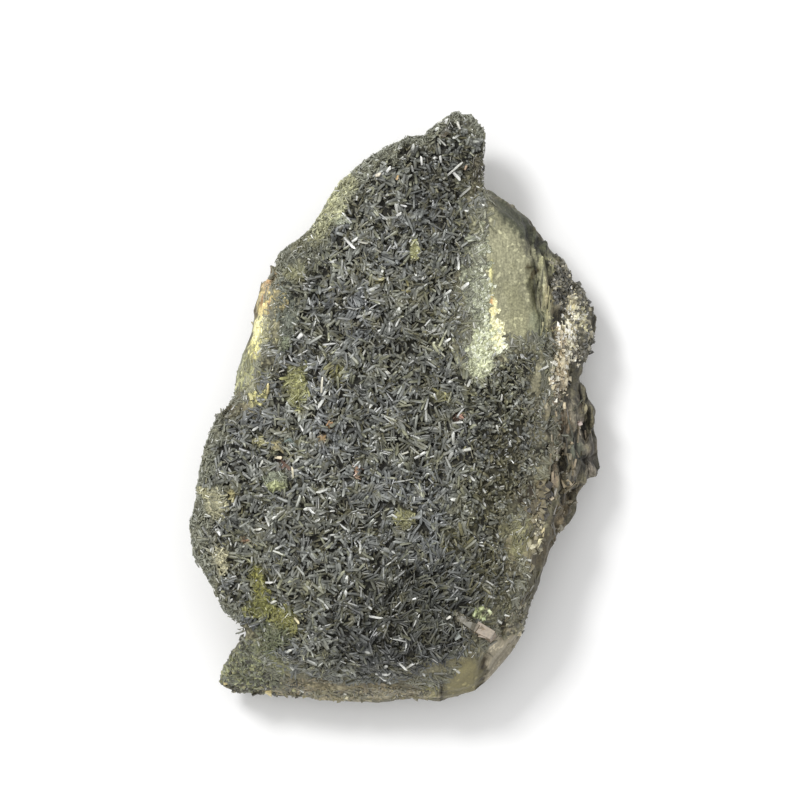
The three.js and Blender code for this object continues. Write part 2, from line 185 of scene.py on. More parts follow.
# The same for the mat, with how many of its crystals take the colour.
MAT_PATCHES = [
    (-16.7, 3.8, 1.9, 3.8, -4, (184, 184, 124), 0.85),
    (-10.2, 5.8, 1.7, 2, 0, (150, 147, 98), 0.7),
    (-16.8, 22.6, 2.2, 1.6, 0, (164, 163, 126), 0.8),
    (-18.6, 15.4, 2.1, 5, 4, (122, 128, 116), 0.9),
    (-18.8, 10.6, 1.2, 1.3, 0, (146, 154, 126), 0.8),
    (13.6, 7, 2.8, 2.2, 0, (222, 226, 190), 0.85),
    (12.9, 19, 1.3, 12, 2, (160, 164, 140), 0.4),
    (21.4, -14.4, 2.8, 2.8, 0, (112, 104, 82), 0.5),
    (12, -36, 2.6, 1, -34, (124, 118, 101), 1),
    (15.2, -37.8, 2, 1.1, -30, (164, 138, 112), 1),
    (12.4, -43.2, 1.8, 3.2, -42, (128, 121, 91), 0.95),
    (-9.8, 31.5, 1.4, 0.9, 0, (186, 192, 166), 0.8),
    (-14.2, 28.4, 3.4, 1.6, 30, (132, 130, 102), 0.7),
    (-10.4, 34.4, 1.9, 6.8, -34, (204, 204, 164), 0.85),
    (8.2, 46.1, 1.3, 0.9, 0, (112, 102, 80), 0.5),
    # Painted shade, with a brown tint, on the horn's right edge.
    (13.4, 39.4, 1, 3.2, 0, (90, 84, 70), 0.9),
    (3.1, 26.4, 0.9, 1.8, 0, (222, 222, 160), 0.8),
    (-2.8, 21.6, 1.3, 0.9, 0, (176, 170, 124), 0.7),
    (2, 20.4, 1.6, 1.2, 0, (134, 128, 88), 0.6),
    (7.6, 2, 1.7, 1, 0, (192, 188, 134), 0.7),
    (-22.9, -5.6, 1.2, 0.9, 0, (204, 200, 150), 0.9),
    (-20.2, -6.2, 0.9, 0.8, 0, (184, 174, 132), 0.9),
    (-17.7, -5.6, 0.8, 0.4, -30, (150, 166, 160), 0.9),
    (-20.3, -11.9, 2.4, 1.5, 0, (172, 178, 156), 0.9),
    (-20.2, -12.9, 1.9, 0.9, 0, (198, 204, 150), 0.9),
    (1.4, -18.4, 1.9, 1.9, 0, (184, 182, 130), 0.75),
    (-22.8, -29.6, 1.4, 4, 18, (150, 148, 78), 0.9),
    (-22.6, -33, 2.7, 2.2, 0, (150, 150, 88), 0.9),
    (-18.8, -35.4, 2, 2.8, 40, (160, 158, 92), 0.95),
    (-21, -38.6, 3.4, 2.8, 0, (124, 130, 98), 0.8),
    (-29.4, -25.4, 1.3, 2.6, 0, (228, 222, 184), 0.85),
    (-26.2, -21.3, 2.4, 1.3, 0, (142, 142, 118), 0.7),
    (-25.3, -21.8, 0.5, 0.9, 0, (176, 144, 116), 0.7),
    (-30.4, -16, 2, 2.6, 0, (204, 200, 164), 0.75),
    (-32.4, -14.1, 0.9, 1.2, 0, (216, 212, 170), 0.9),
    (-27.6, -14.4, 0.6, 1.2, 0, (226, 216, 158), 0.9),
    (-31, -22, 1.6, 4, 0, (146, 145, 124), 0.45),
    (-32.2, -8.6, 1.4, 2.6, 0, (146, 148, 126), 0.6),
    (-19.4, -9.4, 1.2, 1, 0, (128, 102, 88), 0.5),
    (-11.1, -2.8, 0.6, 0.6, 0, (214, 166, 118), 0.9),
    (-12.2, -5, 0.6, 0.8, 0, (222, 180, 130), 0.8),
    (-6.5, -10.8, 0.3, 1, 0, (208, 164, 132), 1),
    (10.4, -1.4, 1.3, 0.5, 0, (184, 146, 128), 0.6),
    (14.3, -34.3, 1.6, 1.2, 0, (180, 188, 140), 0.95),
    (20.2, -22, 2, 4, 0, (140, 136, 96), 0.8),
    (17.4, -12, 3.6, 11, -6, (114, 110, 84), 0.5),
    (16, -28, 4, 5, 0, (114, 110, 80), 0.45),
    (22.8, -6, 3, 8, 0, (114, 110, 90), 0.4),
    (10, -21, 3, 3.4, 0, (124, 120, 84), 0.4),
    (-16, -46.8, 6, 1.3, 0, (150, 138, 108), 0.8),
    (-2, -47.6, 22, 1.1, 0, (142, 130, 105), 0.6),
    (-30, 0, 4, 2, 0, (130, 128, 112), 0.6),
]
FINEST = 0.75  # patches whose share is at least this are of fine crystals

# Broad parts of the mat, and how much lighter or darker they are.
BROAD_SHADES = [
    ((-15, -16, 15, 18, 0), 0.16), ((5, -36, 18, 12, 0), -0.47), ((9, 42, 10, 11, 0), -0.05),
]

# Forms of the rock: centre x, y, half width, half height, turn, rise.
RELIEF = [
    (22.9, 23.2, 1.1, 0.8, 10, -0.5),  # the crevice and the ridge beside it
    (23.3, 19.6, 1, 3.4, 0, -0.5),
    (25.6, 20.8, 1.5, 6.8, 0, 1),
    (31.2, 1.5, 0.6, 2.4, 0, -1.2),  # the grooves and ridges of the foliation
    (32, -3.2, 0.8, 3, 0, -1.5),
    (28.3, -2.6, 1.3, 3, 0, 0.8),
    (26.7, -11, 0.8, 5, 0, 0.9),
    (25.7, -13.9, 0.5, 3, 0, -1.1),
    (28, -9.6, 0.6, 3.8, 0, -1.2),
    (25.1, -7.2, 0.9, 1.1, 0, -1.5),
    (29.6, -14.6, 0.6, 4, -20, -0.8),
    (33.1, -0.8, 1.5, 3, 0, 0.8),
    (33.5, -8.4, 1.4, 3.2, 0, 0.8),
    (17.9, -36.5, 0.8, 1.6, 0, -1.2),  # a hole over the facets
    (14.4, -44.7, 0.9, 4.2, -10, -1),  # the step between them
    (7.6, -48, 0.4, 2.4, 0, -0.9),
]

# Corners of the slab that are worn back, by how much.
WORN = [
    (-29.6, -41, 3.4, 3.2, 0, 1.3), (-28.6, -37.8, 3, 2.6, 0, 2), (14, 48.8, 3.6, 3.6, 0, 0.7),
]

# Where the rock is lumpy, and where nothing grows on it.
LUMPY = [
    (-24.6, -43.6, 7.6, 6, 0), (-12, -48, 16, 2.2, 0), (28.6, -9, 5, 14, 0), (20.6, -28, 4, 12, 0),
]
SMOOTH = [(19.4, -41.6, 4.4, 7, -32), (11.8, -45.8, 3, 4.8, -28), (20.9, 22.4, 4.4, 12, 0)]
FACETS = SMOOTH[:2]  # flat breaks, of even colour
FLANK = (30.8, -4, 4, 14, 0)  # hardly any blades on the foliation

# Where the mat has broken away, where its blades go on to its edge, where they are short and
# upright, and where they are swept up the slab and longer.
GONE = [(12.2, -43.8, 2.3, 3.6, -42)]
CROWDED = [(-6, -46, 24, 2.4, 0)]
STUBBY = [(19, -9, 8, 19, 0), (9, 42, 8, 8, 0), (20.5, 7.4, 6, 3.4, 0)]
SWEPT = (6.5, -34, 12, 13, 0)
LONG_BLADES = (6.5, -34, 10, 11, 0)

# Crystals on the rock: patch, how many, lengths, widths, heading in degrees or None,
# colours. The long ones are splinters of the foliation.
ROCK_GROWTHS = [
    ((-24.6, -43.2, 7.2, 5.2, 0), 900, (0.9, 2.5), (0.4, 0.8), None,
     ((134, 138, 114), (96, 96, 80), (164, 166, 120), (142, 146, 118), (50, 48, 40))),
    ((-13, -46.9, 15.6, 1.5, 0), 1000, (0.8, 1.9), (0.32, 0.58), None,
     ((86, 88, 80), (58, 59, 52), (106, 108, 98), (126, 124, 100), (40, 40, 36))),
    ((-12, -48.8, 15.6, 1, 0), 520, (0.5, 1.3), (0.26, 0.5), None,
     ((120, 122, 96), (146, 138, 108), (92, 92, 74), (164, 154, 122), (60, 60, 50))),
    ((28.4, -5.4, 3.2, 7, 0), 46, (1.8, 4.4), (0.3, 0.7), 89,
     ((116, 107, 86), (100, 104, 90), (134, 122, 98), (66, 62, 50), (156, 142, 118))),
    ((27.6, -16.6, 2.6, 7, -22), 46, (1.6, 3.8), (0.3, 0.7), 68,
     ((112, 104, 82), (94, 90, 72), (132, 121, 95), (62, 56, 45))),
    ((22.4, -14.4, 3.2, 3.2, 0), 130, (0.9, 2.4), (0.3, 0.6), 112,
     ((158, 146, 118), (124, 114, 90), (90, 82, 64), (58, 52, 42))),
    ((22.6, -22, 2.2, 7.4, -14), 180, (0.7, 1.8), (0.3, 0.6), 70,
     ((120, 114, 82), (96, 92, 70), (144, 135, 98), (58, 54, 41))),
    ((20, -34, 2.4, 4.6, -20), 180, (0.7, 1.8), (0.3, 0.6), 60,
     ((120, 111, 86), (92, 86, 67), (142, 131, 101), (56, 50, 38))),
    ((-22.4, 16.4, 1.9, 6.4, -8), 80, (1.2, 3.2), (0.24, 0.5), 78,
     ((226, 220, 164), (240, 236, 198), (198, 184, 142), (168, 160, 126))),
    ((-25, 6, 2, 5.6, -10), 90, (1.2, 3.2), (0.26, 0.5), 78,
     ((164, 163, 128), (200, 196, 144), (130, 130, 106), (148, 148, 122))),
    # The strip's whitest crystals are partly painted glints.
    ((29.9, 14.9, 1.5, 5, -5), 340, (1, 2.4), (0.42, 0.8), 88,
     ((252, 247, 220), (255, 254, 248), (240, 230, 194), (216, 207, 172), (128, 120, 98))),
    ((27.6, 6.2, 1.5, 6, -4), 340, (1, 2.4), (0.4, 0.76), 86,
     ((250, 240, 210), (255, 252, 240), (232, 217, 184), (204, 188, 156), (110, 100, 82))),
    ((25.6, 17.4, 0.8, 5, 0), 26, (1.6, 3.6), (0.2, 0.36), 88,
     ((176, 170, 128), (140, 137, 102), (196, 190, 146))),
    ((23.4, 9.6, 4.4, 1.3, 0), 300, (0.8, 2), (0.3, 0.55), None,
     ((94, 94, 80), (76, 76, 64), (118, 118, 96))),
    ((13.6, 20, 1.4, 13, 3), 300, (0.6, 1.6), (0.24, 0.5), None,
     ((160, 163, 140), (206, 208, 192), (126, 128, 108), (88, 89, 78))),
]

# Coarse grains on the rock: patch, share of all grains, sizes, length to width, colours.
GRAIN_FIELDS = [
    # The strip's whitest grains are partly painted glints.
    ((29.9, 14.9, 1.2, 4.2, -5), 0.012, (0.4, 0.8), 2.4,
     ((234, 229, 196), (250, 248, 240), (200, 190, 150), (132, 124, 102))),
    ((31.7, 14.9, 0.9, 2.2, 0), 0.01, (0.4, 0.9), 1.6, ((206, 200, 160), (232, 229, 212))),
    ((27.6, 6.4, 1.4, 5.4, -4), 0.015, (0.4, 0.8), 2.6,
     ((214, 202, 168), (246, 243, 228), (170, 154, 124), (112, 101, 82))),
    ((30.2, 9.4, 1.8, 2.4, 0), 0.02, (0.35, 0.7), 1.6,
     ((196, 188, 164), (236, 232, 214), (132, 124, 106), (84, 79, 68))),
    ((31.8, 14.6, 1.6, 7, 8), 0.045, (0.35, 0.9), 1.8,
     ((98, 97, 86), (122, 118, 102), (70, 68, 60), (164, 158, 136))),
    ((28.2, 21.4, 1.8, 4, 0), 0.06, (0.35, 0.8), 1.4,
     ((82, 81, 72), (112, 109, 96), (62, 60, 52), (164, 158, 138))),
    ((27.2, -12, 2.8, 10, 0), 0.008, (0.4, 0.9), 2.8,
     ((118, 112, 92), (84, 79, 63), (134, 126, 104), (164, 150, 122))),
    ((22.6, -14.4, 3.2, 2.8, 0), 0.014, (0.7, 1.7), 1.8,
     ((122, 113, 87), (140, 131, 104), (88, 81, 63), (48, 43, 36))),
    ((23.7, -21, 0.8, 4, -14), 0.007, (0.4, 0.9), 2.8,
     ((206, 200, 170), (156, 148, 120), (112, 106, 86))),
    ((14.6, 9.6, 2.7, 3.8, 0), 0.07, (0.3, 0.8), 1.5,
     ((216, 220, 186), (242, 245, 224), (192, 196, 158))),
    ((17, 12.8, 0.9, 3, 8), 0.02, (0.3, 0.7), 1.5, ((255, 252, 216), (250, 246, 198))),
    ((14.2, 19, 1.7, 12.6, 2), 0.08, (0.25, 0.65), 1.6,
     ((178, 182, 154), (226, 229, 210), (150, 153, 126), (168, 171, 144))),
    ((-24.6, -44.2, 7, 5, 0), 0.03, (0.3, 0.8), 1.5,
     ((126, 126, 96), (158, 155, 112), (84, 86, 68), (52, 50, 40))),
    ((-12, -48.8, 15.6, 1.8, 0), 0.02, (0.25, 0.7), 1.6,
     ((144, 138, 110), (120, 116, 90), (170, 162, 126))),
    ((19.6, -35.4, 2.6, 3.4, 0), 0.015, (0.3, 0.7), 1.8,
     ((112, 109, 88), (90, 87, 70), (150, 144, 120))),
]

# Single crystals: x, y, length, width, turn, how far they stand out, colour.
BLOCKS = [
    (10.4, -34.7, 1.5, 1.1, -50, -0.4, (106, 102, 88)),  # the tan ledge
    (11.3, -35.3, 1.6, 1.2, -20, -0.4, (110, 105, 91)),
    (12.3, -35.9, 1.5, 1.2, -60, -0.4, (114, 108, 93)),
    (13.1, -36.6, 1.6, 1.3, -25, -0.4, (118, 108, 91)),
    (14, -37, 1.5, 1.5, -50, -0.4, (126, 113, 94)),
    (14.9, -37.6, 1.7, 1.4, -20, -0.35, (138, 121, 99)),
    (15.8, -38.1, 1.5, 1.4, -45, -0.35, (140, 122, 100)),
    (16.5, -38.7, 1.1, 1, -10, -0.35, (132, 116, 96)),
    (11.9, -35.7, 3.4, 1.2, -33, -0.35, (112, 108, 94)),
    (14.7, -37.4, 3.6, 1.5, -33, -0.32, (138, 122, 102)),
    (10.2, -38.1, 1.1, 1, 40, 0.1, (134, 138, 133)),
    (14.2, -33.4, 1, 0.6, 20, 0.1, (196, 204, 152)),
    (15.6, -33.9, 0.9, 0.5, -50, 0.1, (204, 210, 166)),
    (13, -34.4, 0.9, 0.5, 70, 0.1, (184, 194, 146)),
    (14.6, -35.1, 0.8, 0.5, 10, 0.1, (176, 188, 140)),
    (20.8, -38.2, 0.9, 0.8, 0, 0.1, (224, 216, 188)),
    (-29.2, -47, 1, 0.8, 10, -0.1, (204, 188, 128)),
    (-21.8, -48.2, 1.8, 0.9, 80, 0.2, (226, 208, 146)),
    (-16.6, -48.4, 1, 0.7, 0, 0.2, (212, 172, 98)),
    (-24.1, 3.4, 1.4, 0.7, 80, -0.1, (222, 216, 156)),
    (-24.3, 1.9, 1.2, 0.6, 95, -0.1, (212, 206, 148)),
    (-21.5, 21.3, 0.7, 0.5, 60, -0.7, (206, 170, 124)),
    (23.6, -17.6, 1.2, 0.5, 60, 0, (190, 180, 142)),
    (24.9, -19, 1.4, 0.45, 78, 0, (206, 198, 162)),
    (24.5, -20.9, 1.6, 0.5, 72, 0, (220, 206, 160)),
    (23.8, -22.7, 2, 0.55, 70, 0, (238, 230, 188)),
    (26.2, -15.2, 1.2, 0.7, 50, 0.1, (212, 196, 164)),
    # A painted glint, pink-white.
    (31.1, -2.7, 0.9, 0.6, 30, 0.2, (212, 194, 184)),
    (29.4, 17.2, 2, 0.7, 84, -0.1, (240, 234, 200)),  # the larger ones of the strip
    (30.2, 14.6, 1.9, 0.7, 94, -0.1, (244, 240, 214)),
    (28.1, 7.8, 2.5, 0.6, 86, -0.1, (214, 204, 176)),
    (28.6, 4.4, 1.7, 0.6, 84, -0.1, (224, 212, 182)),
    (28.3, 0.4, 1.2, 0.7, 98, 0, (222, 208, 176)),
]

# Bright single blades on the mat, partly painted glints and partly pale crystals: x, y, length,
# width, turn, colour.
LATHS = [
    (-7.8, 27.5, 2.9, 0.5, -45, (236, 236, 232)), (-6.9, 28.1, 1.2, 0.5, 30, (220, 220, 214)),
    (-5.6, 27.6, 1.7, 0.4, -15, (216, 214, 204)), (1.2, 33.8, 1.1, 0.5, -15, (232, 232, 228)),
    (0.4, 32.3, 0.9, 0.5, 30, (226, 226, 220)), (-1.3, 39.9, 1.1, 0.6, 50, (240, 240, 236)),
    (-3.1, 39, 0.9, 0.6, 20, (238, 228, 206)), (0.2, 38.5, 0.8, 0.6, 60, (214, 182, 128)),
    (9.4, 39.7, 4.4, 0.42, 42, (208, 208, 200)), (10.1, 38.8, 1.7, 0.6, -48, (224, 224, 218)),
    (4.2, 41.4, 1.6, 0.45, 95, (232, 232, 226)), (7.4, 41.7, 1.2, 0.5, 98, (204, 204, 198)),
    (10.4, 47.4, 1.5, 0.45, 105, (226, 224, 216)), (8.4, 48.2, 1, 0.5, 80, (238, 238, 232)),
    (6.8, 46.9, 0.8, 0.6, 40, (226, 228, 220)), (7.7, 44.6, 1.8, 0.4, -48, (176, 176, 168)),
    (11.6, 36.3, 2.5, 0.5, 42, (172, 172, 164)), (11.6, 40.3, 0.8, 0.4, 70, (176, 148, 118)),
    (-16.1, 12.1, 1.1, 0.7, 50, (240, 240, 236)), (-13.5, 11.5, 2.7, 0.45, 33, (190, 192, 184)),
    (-12.4, 3.9, 2.6, 0.5, 85, (232, 226, 206)), (-17.7, 8.4, 1.2, 0.4, -60, (214, 214, 208)),
    (-21.4, 3.2, 1.8, 0.45, 85, (222, 208, 150)), (-23.6, 4.2, 1, 0.45, 60, (234, 230, 190)),
    (-15.8, -3.3, 1.2, 0.4, -60, (230, 230, 224)), (-19.7, -8.2, 1.2, 0.6, -5, (244, 230, 198)),
    (-16.8, -8.8, 1.5, 0.45, 40, (208, 210, 202)), (-22.5, -9.2, 1.2, 0.4, 62, (224, 224, 216)),
    (-17.3, -10.7, 1.8, 0.45, 95, (222, 214, 186)), (-31.1, -16.7, 0.7, 0.5, 0, (236, 228, 194)),
    (-29.7, -20.6, 1.4, 0.45, -40, (236, 238, 236)), (-23.1, -20.2, 1.4, 0.45, 5, (228, 228, 218)),
    (-14.1, -17.1, 1.2, 0.5, -40, (232, 234, 230)), (-16.3, -15.4, 1.9, 0.5, 70, (180, 182, 172)),
    (17.6, -39.6, 1.9, 0.45, -4, (244, 242, 234)), (15.8, -39.5, 0.8, 0.45, 10, (226, 222, 208)),
    (8.7, -34.9, 0.9, 0.5, 30, (236, 234, 222)), (1.1, -43.4, 2, 0.42, -60, (240, 240, 234)),
    (2.3, -43.4, 2, 0.42, 55, (232, 232, 226)), (-21.2, -29, 1.3, 0.45, 0, (232, 232, 226)),
    (-26.3, -29.8, 1, 0.35, 75, (220, 220, 212)), (-20.5, -32.2, 1, 0.5, 30, (226, 226, 214)),
    (-16.6, -35.3, 1.3, 0.45, -50, (236, 226, 184)), (-18, -40.7, 1, 0.45, 45, (220, 220, 208)),
    (-17.8, -44.8, 0.9, 0.45, -60, (222, 222, 210)),
]

rng = np.random.default_rng(41)

# ---- numbers and meshes


def srgb(colour):
    """A linear colour, or a row of them, from the 0 to 255 values seen on a screen."""
    share = np.array(colour) / 255
    return np.where(share > 0.04045, ((share + 0.055) / 1.055) ** 2.4, share / 12.92)


def hashed(cells, seed):
    """A value from -1 to 1 for each cell of a lattice, the same each run."""
    x, y, z = cells.T
    bits = (x * 73856093 ^ y * 19349663 ^ z * 83492791 ^ seed * 2654435761) & 0xFFFFFFFF
    bits = (bits ^ bits >> 15) * 2246822519 & 0xFFFFFFFF
    bits = (bits ^ bits >> 13) * 3266489917 & 0xFFFFFFFF
    return (bits ^ bits >> 16) / 0x7FFFFFFF - 1


def lattice_noise(points, size, seed=0):
    """Smooth noise from -1 to 1 at each point, with lumps `size` across."""
    spot = points / size
    cell = np.floor(spot).astype(np.int64)
    part = spot - cell
    part = part * part * (3 - 2 * part)
    total = np.zeros(len(points))
    for corner in range(8):
        step = np.array([corner & 1, corner >> 1 & 1, corner >> 2 & 1])
        total += hashed(cell + step, seed) * np.prod(np.where(step, part, 1 - part), axis=1)
    return total


def smoothstep(low, high, value):
    share = np.clip((value - low) / (high - low), 0, 1)
    return share * share * (3 - 2 * share)


def unit(vectors):
    return vectors / np.maximum(np.linalg.norm(vectors, axis=1), 1e-9)[:, None]


def patch_weight(points, patch, ragged=0.35):
    """How far each point is inside a patch, 0 to 1, with a broken edge."""
    x, y, half_width, half_height, turn = patch[:5]
    c, s = math.cos(math.radians(turn)), math.sin(math.radians(turn))
    dx, dy = points[:, 0] - x, points[:, 1] - y
    far = np.hypot((c * dx + s * dy) / half_width, (c * dy - s * dx) / half_height)
    far += ragged * lattice_noise(points, 1.5, 5) + ragged * lattice_noise(points, 0.6, 6)
    return 1 - smoothstep(0.7, 1.15, far)


def share_in(patches, points):
    """The greatest of the patches' weights at each point."""
    return np.max([patch_weight(points, patch, 0.1) for patch in patches], axis=0)


def blended(colours, others, amount):
    """Colours moved by some amount towards others."""
    return colours + (others - colours) * np.reshape(amount, (-1, 1))


def read(items, name, kind=float):
    values = np.empty(3 * len(items), kind)
    items.foreach_get(name, values)
    return values.reshape(-1, 3)


def mesh_arrays(mesh):
    """Vertices in mm, their normals and the triangles of a mesh."""
    mesh.calc_loop_triangles()
    triangles = read(mesh.loop_triangles, "vertices", np.int64)
    return read(mesh.vertices, "co") / MM, read(mesh.vertices, "normal"), triangles


def move_vertices(mesh, vertices):
    mesh.vertices.foreach_set("co", (vertices * MM).astype(np.float32).ravel())


def remeshed(node, voxel, smoothing):
    """A dense, evenly meshed copy of a CAD node, with its facets' edges eased."""
    copy = bpy.data.objects.new("work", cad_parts[node].data.copy())
    bpy.context.scene.collection.objects.link(copy)
    remesh = copy.modifiers.new("remesh", "REMESH")
    remesh.mode = "VOXEL"
    remesh.voxel_size = voxel * MM
    smooth = copy.modifiers.new("smooth", "SMOOTH")
    smooth.factor = 0.5
    smooth.iterations = smoothing
    mesh = bpy.data.meshes.new_from_object(
        copy.evaluated_get(bpy.context.evaluated_depsgraph_get())
    )
    bpy.data.objects.remove(copy)
    return mesh


def paint(mesh, colours, foliation=1):
    """Gives each vertex its colour, for the materials to read, and how foliated it is."""
    layer = mesh.color_attributes.new("tint", "FLOAT_COLOR", "POINT")
    rgba = np.ones((len(colours), 4), np.float32)
    rgba[:, :3] = colours
    rgba[:, 3] = foliation
    layer.data.foreach_set("color", rgba.ravel())


def add_piece(name, mesh, material, node=None):
    """Puts a mesh in the scene as a piece of the object."""
    mesh.materials.clear()
    mesh.materials.append(material)
    piece = bpy.data.objects.new(name, mesh)
    bpy.context.scene.collection.objects.link(piece)
    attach(piece, "root")
    if node:
        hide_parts(node)
    return piece


def add_mesh(name, arrays, material, slot):
    """Adds a flat-shaded piece from its vertices in mm, triangles, vertex colours and map."""
    vertices, triangles, colours, uv = arrays
    mesh = bpy.data.meshes.new(name)
    mesh.vertices.add(len(vertices))
    move_vertices(mesh, vertices)
    mesh.loops.add(3 * len(triangles))
    mesh.loops.foreach_set("vertex_index", triangles.astype(np.int32).ravel())
    mesh.polygons.add(len(triangles))
    mesh.polygons.foreach_set("loop_start", np.arange(0, 3 * len(triangles), 3, dtype=np.int32))
    layer = mesh.uv_layers.new(name=UV_NAME)
    layer.data.foreach_set("uv", uv.astype(np.float32).ravel())
    mesh.update()
    mesh.validate()
    mesh.shade_flat()
    paint(mesh, colours)
    add_piece(name, mesh, material)


# ---- host rock


def rock_colours(points, wall, upper):
    """The rock's colour at points, by how steep they are and how much they face up, with painted
    shade on its walls and in some patches.
    """
    colours = np.tile(srgb(ROCK_COLOUR), (len(points), 1))
    colours = blended(colours, srgb(WALL_COLOUR_AND_SHADE), 0.75 * smoothstep(0.5, 0.9, wall))
    rusty = 0.25 * smoothstep(0.35, 0.8, lattice_noise(points, 8, 13))
    colours = blended(colours, srgb(RUST_COLOUR), rusty)
    for patch in ROCK_PATCHES:
        colours = blended(colours, srgb(patch[5]), patch_weight(points, patch) * upper)
    return colours


def towards_rock(colours, points, amount):
    """Colours moved by some amount towards those of the rock's top."""
    rock = rock_colours(points, np.zeros(len(points)), np.ones(len(points)))
    return blended(colours, rock, amount)


def wear(vertices):
    """Moves the slab's worn corners inwards."""
    for corner in WORN:
        inwards = unit(CENTRE - vertices[:, :2])
        vertices[:, :2] += inwards * (corner[5] * patch_weight(vertices, corner, 0.1))[:, None]


def step_layers(vertices, normals, wall, level):
    """Makes the edges of the layers stand in and out, in steps of varying thickness."""
    x, y, _ = vertices.T
    outwards = normals * FLAT
    for thickness, depth, seed in LAYERS:
        sheet = level / thickness + 0.35 * lattice_noise(vertices, 7, seed)
        index = np.floor(sheet)
        here, above = (
            lattice_noise(np.column_stack([x / 6, y / 6, layer * 7.3]), 1, seed)
            for layer in (index, index + 1)
        )
        edge = here + (above - here) * smoothstep(0.75, 1, sheet - index)
        vertices += outwards * (depth * wall * edge)[:, None]


def flank_ridges(vertices):
    """Upright ridges with sharp grooves between, which the layers show down the right side."""
    x, y, z = vertices.T
    across = np.column_stack([x / 1.4 + 0.1 * y, y / 6, z / 30])
    ridges = 1.9 * np.abs(lattice_noise(across, 1, 9)) - 0.75
    return ridges + (0.9 * np.abs(lattice_noise(across * [2.3, 2.4, 1], 1, 10)) - 0.2)


def rock_mesh():
    """The host rock with its layered walls, broken grain and colours."""
    mesh = remeshed("host_rock", ROCK_VOXEL, 5)
    vertices, normals, _ = mesh_arrays(mesh)
    x, y, z = vertices.T
    wall = np.sqrt(np.clip(1 - normals[:, 2] ** 2, 0, 1))
    level = z + 0.07 * x - 0.04 * y + 0.7 * lattice_noise(vertices, 16, 1)
    step_layers(vertices, normals, wall, level)
    ridges = flank_ridges(vertices)
    upper = smoothstep(0.1, 0.4, normals[:, 2])
    flank = smoothstep(23.5, 26.5, x + 0.1 * y) * upper
    vertices += normals * (1.4 * ridges * flank)[:, None]
    for form in RELIEF:
        vertices[:, 2] += form[5] * patch_weight(vertices, form, 0.15) * upper

    wear(vertices)
    grain = 0.28 * lattice_noise(vertices, 2.6, 7) + 0.16 * lattice_noise(vertices, 1.1, 8)
    grain += 0.4 * lattice_noise(vertices, 1.7, 45) * share_in(LUMPY, vertices)
    vertices += normals * (grain * (1 - 0.7 * share_in(SMOOTH, vertices)))[:, None]
    vertices[:, 2] = np.maximum(vertices[:, 2], 0)
    vertices[z < 0.05, 2] = 0
    move_vertices(mesh, vertices)

    # Colour: olive grey, browner on the walls and darker there as painted shade, streaked by the
    # layers.
    streak = lattice_noise(np.column_stack([x / 9, y / 9, level / 0.8]), 1, 11)
    shade = 1 + 0.22 * lattice_noise(vertices, 3.5, 12) + 0.2 * streak * wall
    # Painted shade in the grooves of the flank and painted light on its ridges.
    shade += 0.16 * lattice_noise(vertices, 0.95, 46) + 0.95 * ridges * flank
    colours = rock_colours(vertices, wall, smoothstep(0.05, 0.35, normals[:, 2]))
    # Painted shade: the walls facing right, away from the lamps, are darkened.
    right_wall_shade = smoothstep(0.25, 0.8, normals[:, 0]) * smoothstep(0.55, 0.9, wall)
    colours *= (1 - 0.35 * right_wall_shade)[:, None]
    paint(mesh, colours * np.clip(shade, 0.35, 1.6)[:, None], flank)
    plain = mesh.attributes.new("plain", "FLOAT", "POINT")
    plain.data.foreach_set("value", share_in(FACETS, vertices).astype(np.float32))
    mesh.shade_smooth()
    return mesh


# ---- measuring the solids


def faces_of(mesh):
    """Corners, normals and areas of a mesh's triangles."""
    vertices, _, triangles = mesh_arrays(mesh)
    corners = vertices[triangles]
    normals = np.cross(corners[:, 1] - corners[:, 0], corners[:, 2] - corners[:, 0])
    doubled = np.linalg.norm(normals, axis=1)
    return corners, unit(normals), doubled / 2


def picked(arrays, chosen):
    """The chosen rows of several arrays."""
    return tuple(values[chosen] for values in arrays)


def tree_of(*nodes):
    """The solids of CAD nodes, for straight lines to be cast at."""
    vertices, triangles = [], []
    for node in nodes:
        own_vertices, _, own_triangles = mesh_arrays(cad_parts[node].data)
        triangles += (own_triangles + len(vertices)).tolist()
        vertices += own_vertices.tolist()
    return BVHTree.FromPolygons(vertices, triangles)


def blocked(tree, points, directions, reach=FAR):
    """Whether a straight line from each point meets the tree within reach."""
    pairs = zip(points.tolist(), directions.tolist())
    return np.array([tree.ray_cast(p, d, reach)[0] is not None for p, d in pairs])


def straight_up(points):
    return np.tile([0.0, 0.0, 1.0], (len(points), 1))


def over_outline(points):
    """Whether each point is over the slab, seen from above."""
    return blocked(solid_tree, points * FLAT + [0, 0, -5], straight_up(points))


def look_down(x, y):
    """Where a line straight down meets the solids, and which way they face there."""
    return solid_tree.ray_cast((x, y, FAR), (0, 0, -1))[:2]


def tree_at(points):
    tree = KDTree(len(points))
    for i, point in enumerate(points.tolist()):
        tree.insert(point, i)
    tree.balance()
    return tree


def distances(points, targets):
    """From each point to the nearest of the targets."""
    tree = tree_at(targets)
    return np.array([tree.find(point)[2] for point in points.tolist()])


def seen_distances(points, targets):
    """The same, but as seen from above."""
    return distances(points * FLAT, targets * FLAT)


def scatter_on(faces, count):
    """Random points on triangles, in proportion to area, with their normals."""
    corners, normals, areas = faces
    chosen = rng.choice(len(areas), count, p=areas / areas.sum())
    u, v = rng.random((2, count))
    over = u + v > 1
    u[over], v[over] = 1 - u[over], 1 - v[over]
    a, b, c = corners[chosen].transpose(1, 0, 2)
    points = a + (b - a) * u[:, None] + (c - a) * v[:, None]
    return points, normals[chosen]


def by_chance(chance):
    """Indices that are each taken with their own chance."""
    return np.flatnonzero(rng.random(len(chance)) < chance)


def from_centre(points):
    """Bearings in degrees and distances of points from the slab's centre."""
    x, y = (points[:, :2] - CENTRE).T
    return np.degrees(np.arctan2(y, x)), np.hypot(x, y)


